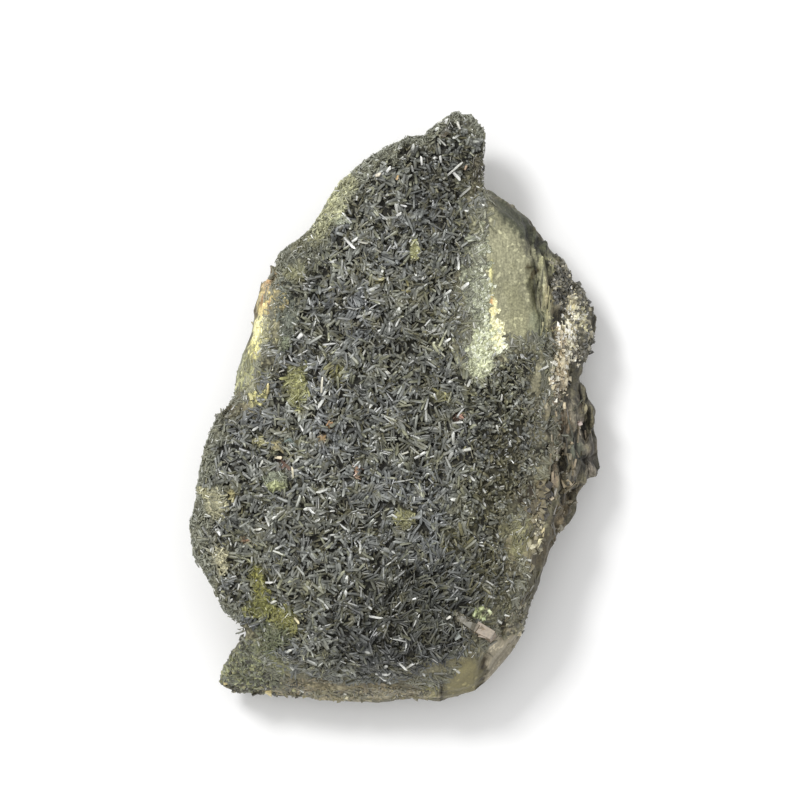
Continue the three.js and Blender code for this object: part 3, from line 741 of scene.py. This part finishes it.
def reach_by_bearing(points):
    """The slab's outline, as the greatest distance of its points at each bearing."""
    bearings, reaches = from_centre(points)
    steps = 360 // BEARING_STEP
    radii = np.zeros(steps + 1)
    np.maximum.at(radii, (np.round(bearings / BEARING_STEP) % steps).astype(int), reaches)
    radii[-1] = radii[0]
    return radii


def parts_of_rock(rock):
    """The rock's bare upper faces and all its upper faces, points of its bare top and walls."""
    faces = faces_of(rock)
    centres, normals = faces[0].mean(axis=1), faces[1]
    upward = np.flatnonzero((normals[:, 2] > 0.1) & (centres[:, 2] > 4))
    bare = upward[~blocked(crust_tree, centres[upward], straight_up(upward))]
    sides = np.flatnonzero(normals[:, 2] <= 0.1)
    sides = sides[~blocked(crust_tree, centres[sides], normals[sides], 4)]
    spots = (centres[rng.permutation(chosen)[:EDGE_SPOTS]] for chosen in (bare, sides))
    return picked(faces, bare), picked(faces, upward), *spots


def outer_crust():
    """The crust's faces that don't lie against the rock or edge its bare top."""
    faces = faces_of(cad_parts["epidote_crust"].data)
    centres, normals = faces[0].mean(axis=1), faces[1]
    outer = ~blocked(tree_of("host_rock"), centres, normals, 2.5) & (normals[:, 2] > -0.35)
    outer &= (normals[:, 2] > 0.6) | (seen_distances(centres, bare_points) > 1.2)
    return picked(faces, outer)


# ---- crystals and grains


def prism_faces(sides, rows):
    """Triangles of a closed prism whose corners go round it, row after row."""
    faces = []
    for i in range(sides):
        j = (i + 1) % sides
        for low in range(0, sides * (rows - 1), sides):
            high = low + sides
            faces += [(low + i, low + j, high + j), (low + i, high + j, high + i)]
    last = sides * (rows - 1)
    for i in range(1, sides - 1):
        faces += [(0, i + 1, i), (last, last + i, last + i + 1)]
    return np.array(faces)


def copies(count, faces, place):
    """Triangles of copies of one form, and their map: each copy in its own cell of a square."""
    triangles = (np.arange(count)[:, None, None] * len(place) + faces).reshape(-1, 3)
    columns = math.ceil(math.sqrt(count))
    cell = np.column_stack([np.arange(count) % columns, np.arange(count) // columns])
    uv = (cell[:, None, :] + np.array(place)).reshape(-1, 2) / columns
    return triangles, uv[triangles.ravel()]


def crystal_arrays(crystals, ring, stations):
    """Long crystals of one cross-section: vertices, triangles, colours and map."""
    centres, along, across, lengths, widths, colours = crystals
    third = np.cross(along, across)
    slant = rng.uniform(-0.35, 0.35, len(centres)) * widths
    spots, shades, place = [], [], []
    for share, girth, shade in stations:
        for sideways, upwards in ring:
            reach = share * lengths + (share > 0) * sideways * slant
            spots.append(
                centres
                + along * reach[:, None]
                + across * (sideways * girth * widths / 2)[:, None]
                + third * (upwards * girth * widths / 2)[:, None]
            )
            shades.append(shade)
            place.append((0.5 + 0.3 * sideways, 0.5 + 0.6 * share + 0.05 * upwards))
    vertices = np.stack(spots, axis=1).reshape(-1, 3)
    # Painted shade and light along each crystal, from its stations' shades.
    tints = (colours[:, None, :] * np.array(shades)[None, :, None]).reshape(-1, 3)
    triangles, uv = copies(len(centres), prism_faces(len(ring), len(stations)), place)
    return vertices, triangles, tints, uv


def add_crystals(name, crystals, ring, stations, material, slot):
    add_mesh(name, crystal_arrays(crystals, ring, stations), material, slot)


def any_heading(count):
    return rng.uniform(-math.pi, math.pi, count)


def lying(points, facing, heading, rise, depth, lengths, widths):
    """Crystals that lie on a surface, their tips raised a little and kept inside the outline."""
    flat = np.zeros(len(points))
    lie = np.column_stack([np.cos(heading), np.sin(heading), flat])
    lie = unit(lie - facing * np.sum(lie * facing, axis=1)[:, None])
    level = unit(np.column_stack([-facing[:, 1], facing[:, 0], flat]))
    turn = rng.normal(0, 0.8, len(points))[:, None]
    on_wall = level * np.cos(turn) + np.cross(facing, level) * np.sin(turn)
    lie = np.where(facing[:, 2:] < 0.72, on_wall, lie)
    rim = 1 - smoothstep(0.45, 0.85, facing[:, 2])
    along = unit(lie + facing * (rise * (1 - 0.85 * rim))[:, None])
    side = unit(np.cross(facing, along))
    roll = rng.normal(0, 0.5, len(points))
    across = side * np.cos(roll)[:, None] + np.cross(along, side) * np.sin(roll)[:, None]
    lift = depth - 0.22 * rim + 0.2 * np.abs(rise) * lengths - 0.1 * widths
    centres = points + facing * lift[:, None]
    for end in (-0.5, 0.5):
        tips = centres + along * (end * lengths)[:, None]
        out = ~over_outline(tips)
        centres -= along * (end * lengths * out)[:, None]
        centres[:, 2] -= 0.3 * out
    peaks = centres[:, 2] + np.abs(along[:, 2]) * lengths / 2
    centres[:, 2] -= np.maximum(peaks - HIGHEST, 0)
    return centres, along, across, lengths, widths


def chosen_colours(palette, count):
    colours = srgb(palette)[rng.integers(len(palette), size=count)]
    return colours * rng.uniform(0.7, 1.15, count)[:, None]


# ---- crystal mat


def headings(points):
    """Which way bundles lie at each point: all ways, but swept up on the lower right."""
    count = len(points)
    anyway = any_heading(count)
    local = 4 * lattice_noise(points * [1, 1, 0.3], 3.4, 22) + rng.normal(0, 0.5, count)
    sweep = math.radians(58) + rng.normal(0, 0.45, count)
    free = np.where(rng.random(count) < 0.35, local, anyway)
    return np.where(rng.random(count) < 0.55 * patch_weight(points, SWEPT, 0.2), sweep, free)


def rim_share(points):
    """How far each point is inside the mat's worn rim, 0 to 1."""
    bearing, reach = from_centre(points)
    bearing %= 360
    inwards = np.interp(bearing, np.arange(0, 361, BEARING_STEP), outline_radii) - reach
    inwards += 0.9 * lattice_noise(points, 2.4, 41) + 0.4 * lattice_noise(points, 0.9, 42)
    width = np.interp(bearing, RIM_BEARINGS, RIM_WIDTHS)
    return 1 - smoothstep(0.6, 1.2, inwards / width)


def fineness(points, facing):
    """Where the crystals are finer, 0 to 1: along the rim, down the walls, in some patches."""
    fine = np.maximum(rim_share(points), 1 - smoothstep(0.3, 0.62, facing[:, 2]))
    for patch in MAT_PATCHES:
        if patch[6] >= FINEST:
            fine = np.maximum(fine, patch_weight(points, patch, 0.3))
    return fine


def edge_ramp(points):
    """How thick the mat is, 0 to 1: it thins out raggedly towards the bare rock."""
    inside = np.minimum(seen_distances(points, bare_points), distances(points, side_points))
    inside += 0.7 * lattice_noise(points, 2.6, 43) + 0.4 * lattice_noise(points, 1, 44)
    return smoothstep(-0.6, 5.6, inside)


def ground_depth(thick, fine):
    """How far the ground between the blades is below the tops of the mat."""
    return (MAT_DEPTH + 0.2) * (1 - thick) + thick * (1.25 - 0.95 * fine)


def mat_spots(count):
    """Random places on the mat: points, facing, how thick and how fine it is there."""
    points, facing = scatter_on(crust_faces, count)
    wear(points)
    thick, fine = edge_ramp(points), fineness(points, facing)
    rooted = over_outline(points - facing * ground_depth(thick, fine)[:, None])
    rooted &= rng.random(count) > share_in(GONE, points)
    return picked((points, facing, thick, fine), rooted)


def ground_level(points, thick, fine):
    """How high the ground is from the tops of the mat, with a slight roll."""
    return 0.3 * lattice_noise(points, 4.4, 35) * thick - ground_depth(thick, fine)


def crystal_colours(points, usual, spread, pale_and_glint_share=0.025):
    """Grey green-black crystals, some pale, partly as painted glints, and some coloured by the
    patches.
    """
    count = len(points)
    base = np.tile(srgb(usual), (count, 1))
    base *= np.exp(rng.normal(0, spread, count))[:, None]
    olive = (rng.random(count) < 0.2)[:, None]
    base = np.where(olive, base * [1.06, 1.04, 0.82], base)
    base *= 1 + lattice_noise(points, 6, 37)[:, None] * [0.05, 0.035, -0.09]
    base = blended(base, srgb(RIM_COLOUR), 0.8 * rim_share(points))
    broad = 1 + 0.26 * lattice_noise(points, 8, 31)
    for patch, change in BROAD_SHADES:
        broad += change * patch_weight(points, patch, 0.2)
    base *= broad[:, None]
    for patch in MAT_PATCHES:
        weight = patch_weight(points, patch, 0.25)
        soft = weight * patch[6] * rng.uniform(0.35, 0.9, count)
        taken = rng.random(count) < 0.6 * patch[6] * weight
        own = srgb(patch[5]) * rng.uniform(0.6, 1.1, count)[:, None]
        base = blended(base, own, np.where(taken, 1, soft))
    # A few crystals are painted pale, partly as glints.
    pale = (rng.random(count) < pale_and_glint_share)[:, None]
    return np.where(pale, srgb(PALE_AND_GLINT_COLOUR) * rng.uniform(0.5, 1.05, count)[:, None], base)


def mat_ground(mesh):
    """Sinks the mat's solid below its crystals and into the rock, and returns its colours."""
    vertices, normals, _ = mesh_arrays(mesh)
    corners, outer_normals, _ = crust_faces
    middles = tree_at(corners.mean(axis=1))
    nearest = outer_normals[[middles.find(vertex)[1] for vertex in vertices.tolist()]]
    top = smoothstep(-0.3, 0.3, np.sum(normals * nearest, axis=1))
    inwards = unit(normals * top[:, None] + nearest * (1 - top)[:, None])
    thick, fine = edge_ramp(vertices), fineness(vertices, inwards)
    uneven = (0.55 - 0.25 * thick) * lattice_noise(vertices, 1.6, 34)
    sink = ground_depth(thick, fine) + uneven
    sink += (MAT_DEPTH + 0.8 - sink) * share_in(GONE, vertices)
    sunken = vertices - inwards * (top * sink + (1 - top) * 0.8)[:, None]
    wear(sunken)
    move_vertices(mesh, sunken)

    colours = np.tile(srgb(BED_AND_GAP_SHADE_COLOUR), (len(vertices), 1))
    colours = blended(colours, srgb(FINE_BED_COLOUR), fine)
    for patch in MAT_PATCHES:
        amount = patch_weight(vertices, patch, 0.3) * patch[6] * 0.8
        colours = blended(colours, srgb(patch[5]), amount)
    colours = towards_rock(colours, vertices, 0.7 * (1 - smoothstep(0.05, 0.6, thick)))
    return colours * (1 + 0.3 * lattice_noise(vertices, 1.2, 36))[:, None]


def mat_blades():
    """The blades of the mat, in small bundles, sinking towards its edges."""
    points, facing, thick, fine = mat_spots(BUNDLES)
    spots = len(points)
    crowd = share_in(CROWDED, points)
    chance = (0.52 - 0.4 * fine) * (0.5 + 0.5 * smoothstep(0, 0.3, thick)) + 0.4 * crowd
    kept = by_chance(chance)
    members = rng.choice([1, 2, 3], len(kept), p=BUNDLE_SHARES)
    owner = np.repeat(kept, members)
    rank = np.arange(len(owner)) - np.repeat(np.cumsum(members) - members, members)
    heading = headings(points)[owner]

    # How deep each bundle lies, and how far it rises.
    low = rng.random(spots) ** 1.3
    above = (0.1 + 0.85 * (1 - low)) * (0.4 + 0.6 * thick) * (1 - 0.5 * fine)
    depth = above + ground_level(points, thick, fine) + 0.3 * crowd * (1 - thick)
    rise = np.abs(rng.normal(0, 0.28, spots))
    steep = rng.random(spots) < 0.16
    rise[steep] = rng.uniform(0.5, 1.6, steep.sum())
    stubby = share_in(STUBBY, points)
    rise += 0.9 * stubby * rng.random(spots)
    depth -= 0.5 * stubby * rng.random(spots) * thick
    rise *= 0.25 + 0.75 * thick * (1 - 0.7 * fine)

    # The size of each blade, and its place beside the others of its bundle.
    count = len(owner)
    long = patch_weight(points, LONG_BLADES, 0.3)[owner]
    size = (1 - 0.42 * fine[owner]) * rng.uniform(0.75, 1.1, count)
    stretch = size * (1 + 0.3 * long) * (1 - 0.34 * stubby[owner])
    lengths = rng.uniform(*BLADE_LENGTH, spots)[owner] * stretch
    widths = rng.uniform(*BLADE_WIDTH, spots)[owner] * size * (1 - 0.2 * long)
    sideways = np.column_stack([-np.sin(heading), np.cos(heading), np.zeros(count)])
    offset = (rank - (members.repeat(members) - 1) / 2) * widths * 0.95
    places = points[owner] + sideways * offset[:, None]
    heading = heading + rng.normal(0, 0.22, count)
    blades = lying(places, facing[owner], heading, rise[owner], depth[owner], lengths, widths)
    colours = crystal_colours(blades[0], BLADE_COLOUR, 0.32)
    # Painted shade: blades that lie low in the mat are darker.
    colours *= (1 - 0.5 * smoothstep(0.1, 1, low) * (1 - 0.5 * fine))[owner][:, None]
    return *blades, colours


def strewn(points, facing, depth, tilt, length, width):
    """Small crystals that lie all ways; tilt is how widely their rise is spread."""
    count = len(points)
    heading, rise = any_heading(count), rng.normal(0, tilt, count)
    lengths, widths = rng.uniform(*length, count), rng.uniform(*width, count)
    return lying(points, facing, heading, rise, depth, lengths, widths)


def mat_fragments():
    """Small crystals that fill the mat between its blades."""
    points, facing, thick, fine = mat_spots(FRAGMENTS)
    low = rng.random(len(points))
    above = (0.95 - 0.95 * low) * (0.35 + 0.65 * thick) * (1 - 0.6 * fine)
    depth = above + ground_level(points, thick, fine)
    bits = strewn(points, facing, depth, 0.6 * thick, FRAGMENT_LENGTH, FRAGMENT_WIDTH)
    colours = crystal_colours(bits[0], FRAGMENT_COLOUR, 0.4, 0.03)
    # Painted shade: fragments that lie low in the mat are darker.
    colours *= (1 - 0.6 * smoothstep(0.2, 1, low) * (1 - 0.5 * fine) * thick)[:, None]
    return *bits, towards_rock(colours, bits[0], 0.5 * (1 - thick))


def mat_fuzz():
    """The finest crystals, over the mat's worn rim and coloured patches."""
    points, facing, thick, fine = mat_spots(5 * FUZZ)
    kept = by_chance(np.maximum(fine, 0.7 * (1 - thick)))[:FUZZ]
    points, facing, thick = picked((points, facing, thick), kept)
    depth = rng.uniform(-0.05, 0.3, len(kept)) - ground_depth(thick, 1)
    bits = strewn(points, facing, depth, 0.3, FUZZ_LENGTH, FUZZ_WIDTH)
    colours = crystal_colours(bits[0], FUZZ_COLOUR, 0.48, 0.03)
    return *bits, towards_rock(colours, bits[0], 0.4 * (1 - thick))


def border_blades():
    """Blades on the rock along the mat's edge, where the mat thins out."""
    points, facing = scatter_on(top_faces, 30 * BORDER_BLADES)
    chance = 0.6 * np.exp(-((seen_distances(points, mat_points) / 1.3) ** 2))
    chance *= 1 - smoothstep(0.2, 0.9, seen_distances(points, bare_points))
    chance *= 1 - share_in([*SMOOTH, FLANK], points)
    kept = by_chance(chance)[:BORDER_BLADES]
    points, facing, count = points[kept], facing[kept], len(kept)
    size = 1 - 0.35 * fineness(points, facing)
    lengths = rng.uniform(*BORDER_LENGTH, count) * size
    widths = rng.uniform(*BORDER_WIDTH, count) * size
    heading, depth = any_heading(count), rng.uniform(-0.15, 0.25, count)
    rise = np.abs(rng.normal(0, 0.2, count))
    blades = lying(points, facing, heading, rise, depth, lengths, widths)
    colours = 0.9 * crystal_colours(blades[0], BORDER_COLOUR, 0.3)
    return *blades, towards_rock(colours, blades[0], 0.25)


def placed_laths():
    """The bright single blades, on top of the mat: partly painted glints and partly pale crystals.
    """
    x, y, lengths, widths, turns = np.array([lath[:5] for lath in LATHS]).T
    points, facing = (np.array(found) for found in zip(*map(look_down, x, y)))
    rise, depth = np.full(len(x), 0.1), 0.15 - 2 * (1 - edge_ramp(points))
    laths = lying(points, facing, np.radians(turns), rise, depth, lengths, widths)
    return *laths, srgb([lath[5] for lath in LATHS])


# ---- crystals and grains of the rock


def some_in(patch, number, points, weight):
    """Indices of up to a number of points in a patch, taken by chance and by their weight."""
    return rng.permutation(by_chance(patch_weight(points, patch, 0.65) * weight))[:number]


def rock_growths():
    """Crystals and splinters of the rock itself, over its patches."""
    points, facing = scatter_on(rock_faces, GROWTH_SPOTS)
    weight = (1 - share_in(SMOOTH, points)) * smoothstep(0.15, 0.45, facing[:, 2])
    sets = []
    for patch, number, length, width, heading, palette in ROCK_GROWTHS:
        kept = some_in(patch, number, points, weight)
        count = len(kept)
        lengths, widths = rng.uniform(*length, count), rng.uniform(*width, count)
        turn = any_heading(count)
        if heading is not None:
            turn = math.radians(heading) + rng.normal(0, 0.13, count)
        depth, rise = rng.uniform(-0.12, 0.1, count), rng.normal(0, 0.12, count)
        splinters = lying(points[kept], facing[kept], turn, rise, depth, lengths, widths)
        colours = towards_rock(chosen_colours(palette, count), splinters[0], 0.15)
        sets.append((*splinters, colours))
    return tuple(np.concatenate(values) for values in zip(*sets))


# A box's corners, the lower four first, its triangles and its map.
BOX = np.array([(x, y, z) for z in (-1, 1) for x, y in ((-1, -1), (1, -1), (1, 1), (-1, 1))])
BOX_FACES = prism_faces(4, 2)
BOX_PLACE = 0.5 + BOX[:, :2] * np.repeat([0.3, 0.15], 4)[:, None]


def turned(first, second, angle):
    c, s = np.cos(angle)[:, None], np.sin(angle)[:, None]
    return first * c - second * s, first * s + second * c


def blocks(centres, scale, turn, tilt):
    """Corners of broken, box-like grains."""
    shape = BOX[None] * scale[:, None, :]
    shape[:, 4:, :2] *= rng.uniform(0.4, 0.9, (len(centres), 1, 2))
    shape = shape + rng.normal(0, 0.24, shape.shape) * scale.mean(axis=1)[:, None, None]
    x, y, z = shape.transpose(2, 0, 1)
    x, z = turned(x, z, tilt)
    x, y = turned(x, y, turn)
    return centres[:, None, :] + np.stack([x, y, z], axis=2)


def grain_arrays():
    """The grains on the rock and the single crystals: vertices, triangles, colours, map."""
    points, facing = scatter_on(rock_faces, 40 * GRAINS)
    weight = smoothstep(0.2, 0.6, facing[:, 2])
    spots, tints = [], []
    for patch, share, sizes, stretch, palette in GRAIN_FIELDS:
        kept = some_in(patch, int(share * GRAINS), points, weight)
        count = len(kept)
        size = rng.uniform(*sizes, count)
        scale = size[:, None] * rng.uniform(0.6, 1, (count, 3)) / 2
        scale[:, 1] *= stretch ** rng.uniform(0.2, 1, count)
        centres = points[kept] + facing[kept] * (0.05 * size)[:, None]
        spots.append(blocks(centres, scale, rng.normal(0, 0.8, count), rng.normal(0, 0.5, count)))
        tints.append(chosen_colours(palette, count))
    for x, y, length, width, turn, rise, shade in BLOCKS:
        ground = look_down(x, y)[0][2]
        scale = np.array([[length, width, min(width, 1.2)]]) / 2
        centre = np.array([[x, y, ground + rise - 0.4]])
        spots.append(blocks(centre, scale, np.array([math.radians(turn)]), np.array([0.1])))
        tints.append(srgb([shade]))
    spots, tints = np.concatenate(spots), np.concatenate(tints)
    triangles, uv = copies(len(spots), BOX_FACES, BOX_PLACE)
    return spots.reshape(-1, 3), triangles, np.repeat(tints, 8, axis=0), uv


# ---- materials


def new_material(name, roughness):
    material = bpy.data.materials.new(name)
    material.use_nodes = True
    shader = material.node_tree.nodes["Principled BSDF"]
    shader.inputs["Roughness"].default_value = roughness
    return material, material.node_tree, shader


def feed(tree, socket, value):
    """Sets a node's input to a value, or links it to a socket."""
    if isinstance(value, bpy.types.NodeSocket):
        tree.links.new(value, socket)
    else:
        socket.default_value = value


def add_node(tree, kind, output, **inputs):
    """Adds a node, feeds its inputs by name, and gives one of its outputs."""
    node = tree.nodes.new("ShaderNode" + kind)
    for name, value in inputs.items():
        feed(tree, node.inputs[name], value)
    return node.outputs[output]


def sources(tree):
    """A piece's own coordinates, in metres, its vertex colours and how foliated it is."""
    tint = tree.nodes.new("ShaderNodeVertexColor")
    tint.layer_name = "tint"
    return add_node(tree, "TexCoord", "Object"), tint.outputs["Color"], tint.outputs["Alpha"]


def noise(tree, coordinates, scale, detail):
    return add_node(tree, "TexNoise", "Fac", Vector=coordinates, Scale=scale, Detail=detail)


def mixed(tree, mode, factor, first, second):
    """A colour mix; each input is a socket or a colour."""
    node = tree.nodes.new("ShaderNodeMix")
    node.data_type = "RGBA"
    node.blend_type = mode
    for index, value in ((0, factor), (6, first), (7, second)):
        feed(tree, node.inputs[index], value)
    return node.outputs[2]


def grey(value):
    return (value, value, value, 1)


def ramp(tree, factor, *stops):
    """Greys between stops, each a place on the ramp and a brightness."""
    node = tree.nodes.new("ShaderNodeValToRGB")
    elements = node.color_ramp.elements
    for element, (place, value) in zip(elements, (stops[0], stops[-1])):
        element.position, element.color = place, grey(value)
    for place, value in stops[1:-1]:
        elements.new(place).color = grey(value)
    tree.links.new(factor, node.inputs["Fac"])
    return node.outputs["Color"]


def add_bump(tree, shader, height, strength, distance):
    bump = add_node(tree, "Bump", "Normal", Strength=strength, Distance=distance, Height=height)
    feed(tree, shader.inputs["Normal"], bump)


def rock_material():
    """Grainy rock, with dark lines of painted shade in the grooves of its foliation, lighter
    between them, and scattered pale flecks.
    """
    material, tree, shader = new_material("foliated_rock", 0.62)
    coordinates, tint, foliated = sources(tree)
    stretched = add_node(tree, "Mapping", "Vector", Vector=coordinates, Scale=(2.2, 0.3, 0.8))
    grain, streaks = noise(tree, coordinates, 3000, 4), noise(tree, stretched, 1300, 4)
    grain = mixed(tree, "MIX", 0.4, grain, streaks)
    mottle = ramp(tree, grain, (0.32, 0.5), (0.5, 0.96), (0.68, 1.6))
    plain = tree.nodes.new("ShaderNodeAttribute")
    plain.attribute_name = "plain"
    evened = mixed(tree, "MIX", 0.65, mottle, grey(0.96))
    mottle = mixed(tree, "MIX", plain.outputs["Fac"], mottle, evened)
    colour = mixed(tree, "MULTIPLY", 1, tint, mottle)
    # Painted shade: thin dark lines in the grooves of the foliation.
    lines = ramp(tree, noise(tree, stretched, 640, 3), (0.4, 0.3), (0.5, 1.05), (0.64, 1.5))
    colour = mixed(tree, "MULTIPLY", foliated, colour, lines)
    cells = add_node(tree, "TexVoronoi", "Color", Vector=coordinates, Scale=1900)
    level = add_node(tree, "SeparateColor", "Red", Color=cells)
    flecks = ramp(tree, level, (0.9, 0), (0.94, 0.55))
    pale = mixed(tree, "MULTIPLY", 1, colour, grey(2.1))
    feed(tree, shader.inputs["Base Color"], mixed(tree, "MIX", flecks, colour, pale))
    rough, layers = noise(tree, coordinates, 1100, 7), noise(tree, stretched, 900, 5)
    add_bump(tree, shader, mixed(tree, "MIX", foliated, rough, layers), 0.8, 0.00022)
    return material


def ground_material():
    """The dull bed of fine crystals that the blades stand in, dark partly as painted shade between
    them.
    """
    material, tree, shader = new_material("epidote_ground", 0.8)
    coordinates, tint, _ = sources(tree)
    speckle = noise(tree, coordinates, 1500, 4)
    mottle = ramp(tree, speckle, (0.35, 0.25), (0.55, 0.9), (0.7, 2))
    feed(tree, shader.inputs["Base Color"], mixed(tree, "MULTIPLY", 1, tint, mottle))
    add_bump(tree, shader, speckle, 1, 0.0004)
    return material


def crystal_material(name, roughness, dust):
    """Glassy crystals, a little cloudy, with a film of dust in places."""
    material, tree, shader = new_material(name, roughness)
    shader.inputs["IOR"].default_value = EPIDOTE_IOR
    coordinates, tint, _ = sources(tree)
    cloud = ramp(tree, noise(tree, coordinates, 2600, 2), (0.3, 0.75), (0.7, 1.25))
    dusty = ramp(tree, noise(tree, coordinates, 420, 4), (0.52, 0), (0.72, dust))
    colour = mixed(tree, "MULTIPLY", 1, tint, cloud)
    colour = mixed(tree, "MIX", dusty, colour, (*srgb(DUST_COLOUR), 1))
    feed(tree, shader.inputs["Base Color"], colour)
    return material


# ---- build

rock = rock_mesh()
add_piece("foliated_host_rock", rock, rock_material(), "host_rock")

crust_tree, solid_tree = tree_of("epidote_crust"), tree_of("host_rock", "epidote_crust")
rock_faces, top_faces, bare_points, side_points = parts_of_rock(rock)
crust_faces = outer_crust()
mat_points = scatter_on(crust_faces, MAT_SPOTS)[0]
solids = [mesh_arrays(node.data)[0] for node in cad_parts.values()]
outline_radii = reach_by_bearing(np.concatenate(solids))

mat = remeshed("epidote_crust", MAT_VOXEL, 6)
paint(mat, mat_ground(mat))
add_piece("epidote_mat", mat, ground_material(), "epidote_crust")

in_mat = crystal_material("epidote_crystal", 0.34, 0.5), "epidote_crust"
on_rock = crystal_material("rock_grain", 0.4, 0.2), "host_rock"
rng = np.random.default_rng(42)
blades = mat_blades()
by_height = np.argsort(blades[0][:, 1])
for letter, members in zip("abc", np.array_split(by_height, 3)):
    add_crystals(f"epidote_blades_{letter}", picked(blades, members), SIX_SIDED, BLADE, *in_mat)
add_crystals("epidote_fragments", mat_fragments(), FOUR_SIDED, SPLINTER, *in_mat)
add_crystals("epidote_fuzz", mat_fuzz(), FOUR_SIDED, SPLINTER, *in_mat)
border = border_blades()
add_crystals("epidote_laths", placed_laths(), SIX_SIDED, BLADE, *in_mat)
add_crystals("epidote_border", border, SIX_SIDED, SPLINTER, *in_mat)
add_crystals("rock_splinters", rock_growths(), FOUR_SIDED, SPLINTER, *on_rock)
add_mesh("rock_grains", grain_arrays(), *on_rock)

# ---- studio


def add_object(name, data, place):
    thing = bpy.data.objects.new(name, data)
    thing.location = place
    bpy.context.scene.collection.objects.link(thing)
    return thing


def add_light(name, place, size, watts):
    """A square light that shines on the middle of the slab."""
    light = bpy.data.lights.new(name, "AREA")
    light.size = size
    light.energy = watts
    towards = Vector((0, 0, 0.02)) - Vector(place)
    add_object(name, light, place).rotation_euler = towards.to_track_quat("-Z", "Y").to_euler()


floor = bpy.data.meshes.new("floor")
floor.from_pydata([(-3, -3, 0), (3, -3, 0), (3, 3, 0), (-3, 3, 0)], [], [(0, 1, 2, 3)])
floor_object = add_object("floor", floor, (0, 0, -0.0001))
paper, _, paper_shader = new_material("paper", 0.9)
paper_shader.inputs["Base Color"].default_value = grey(0.96)
floor.materials.append(paper)

world = bpy.data.worlds.new("studio")
world.use_nodes = True
world.node_tree.nodes["Background"].inputs["Color"].default_value = grey(1)
world.node_tree.nodes["Background"].inputs["Strength"].default_value = 0.58
bpy.context.scene.world = world
add_light("softbox", (-0.06, 0.1, 0.68), 0.5, 1.4)
add_light("key", (-0.25, 0.28, 0.6), 0.14, 2.25)

camera = bpy.data.cameras.new("camera")
camera.lens = LENS
camera.sensor_width = SENSOR
camera_place = (0.0006, 0.0014, MID_HEIGHT + SEEN_WIDTH * LENS / SENSOR)
bpy.context.scene.camera = add_object("camera", camera, camera_place)
bpy.context.scene.view_settings.view_transform = "Standard"
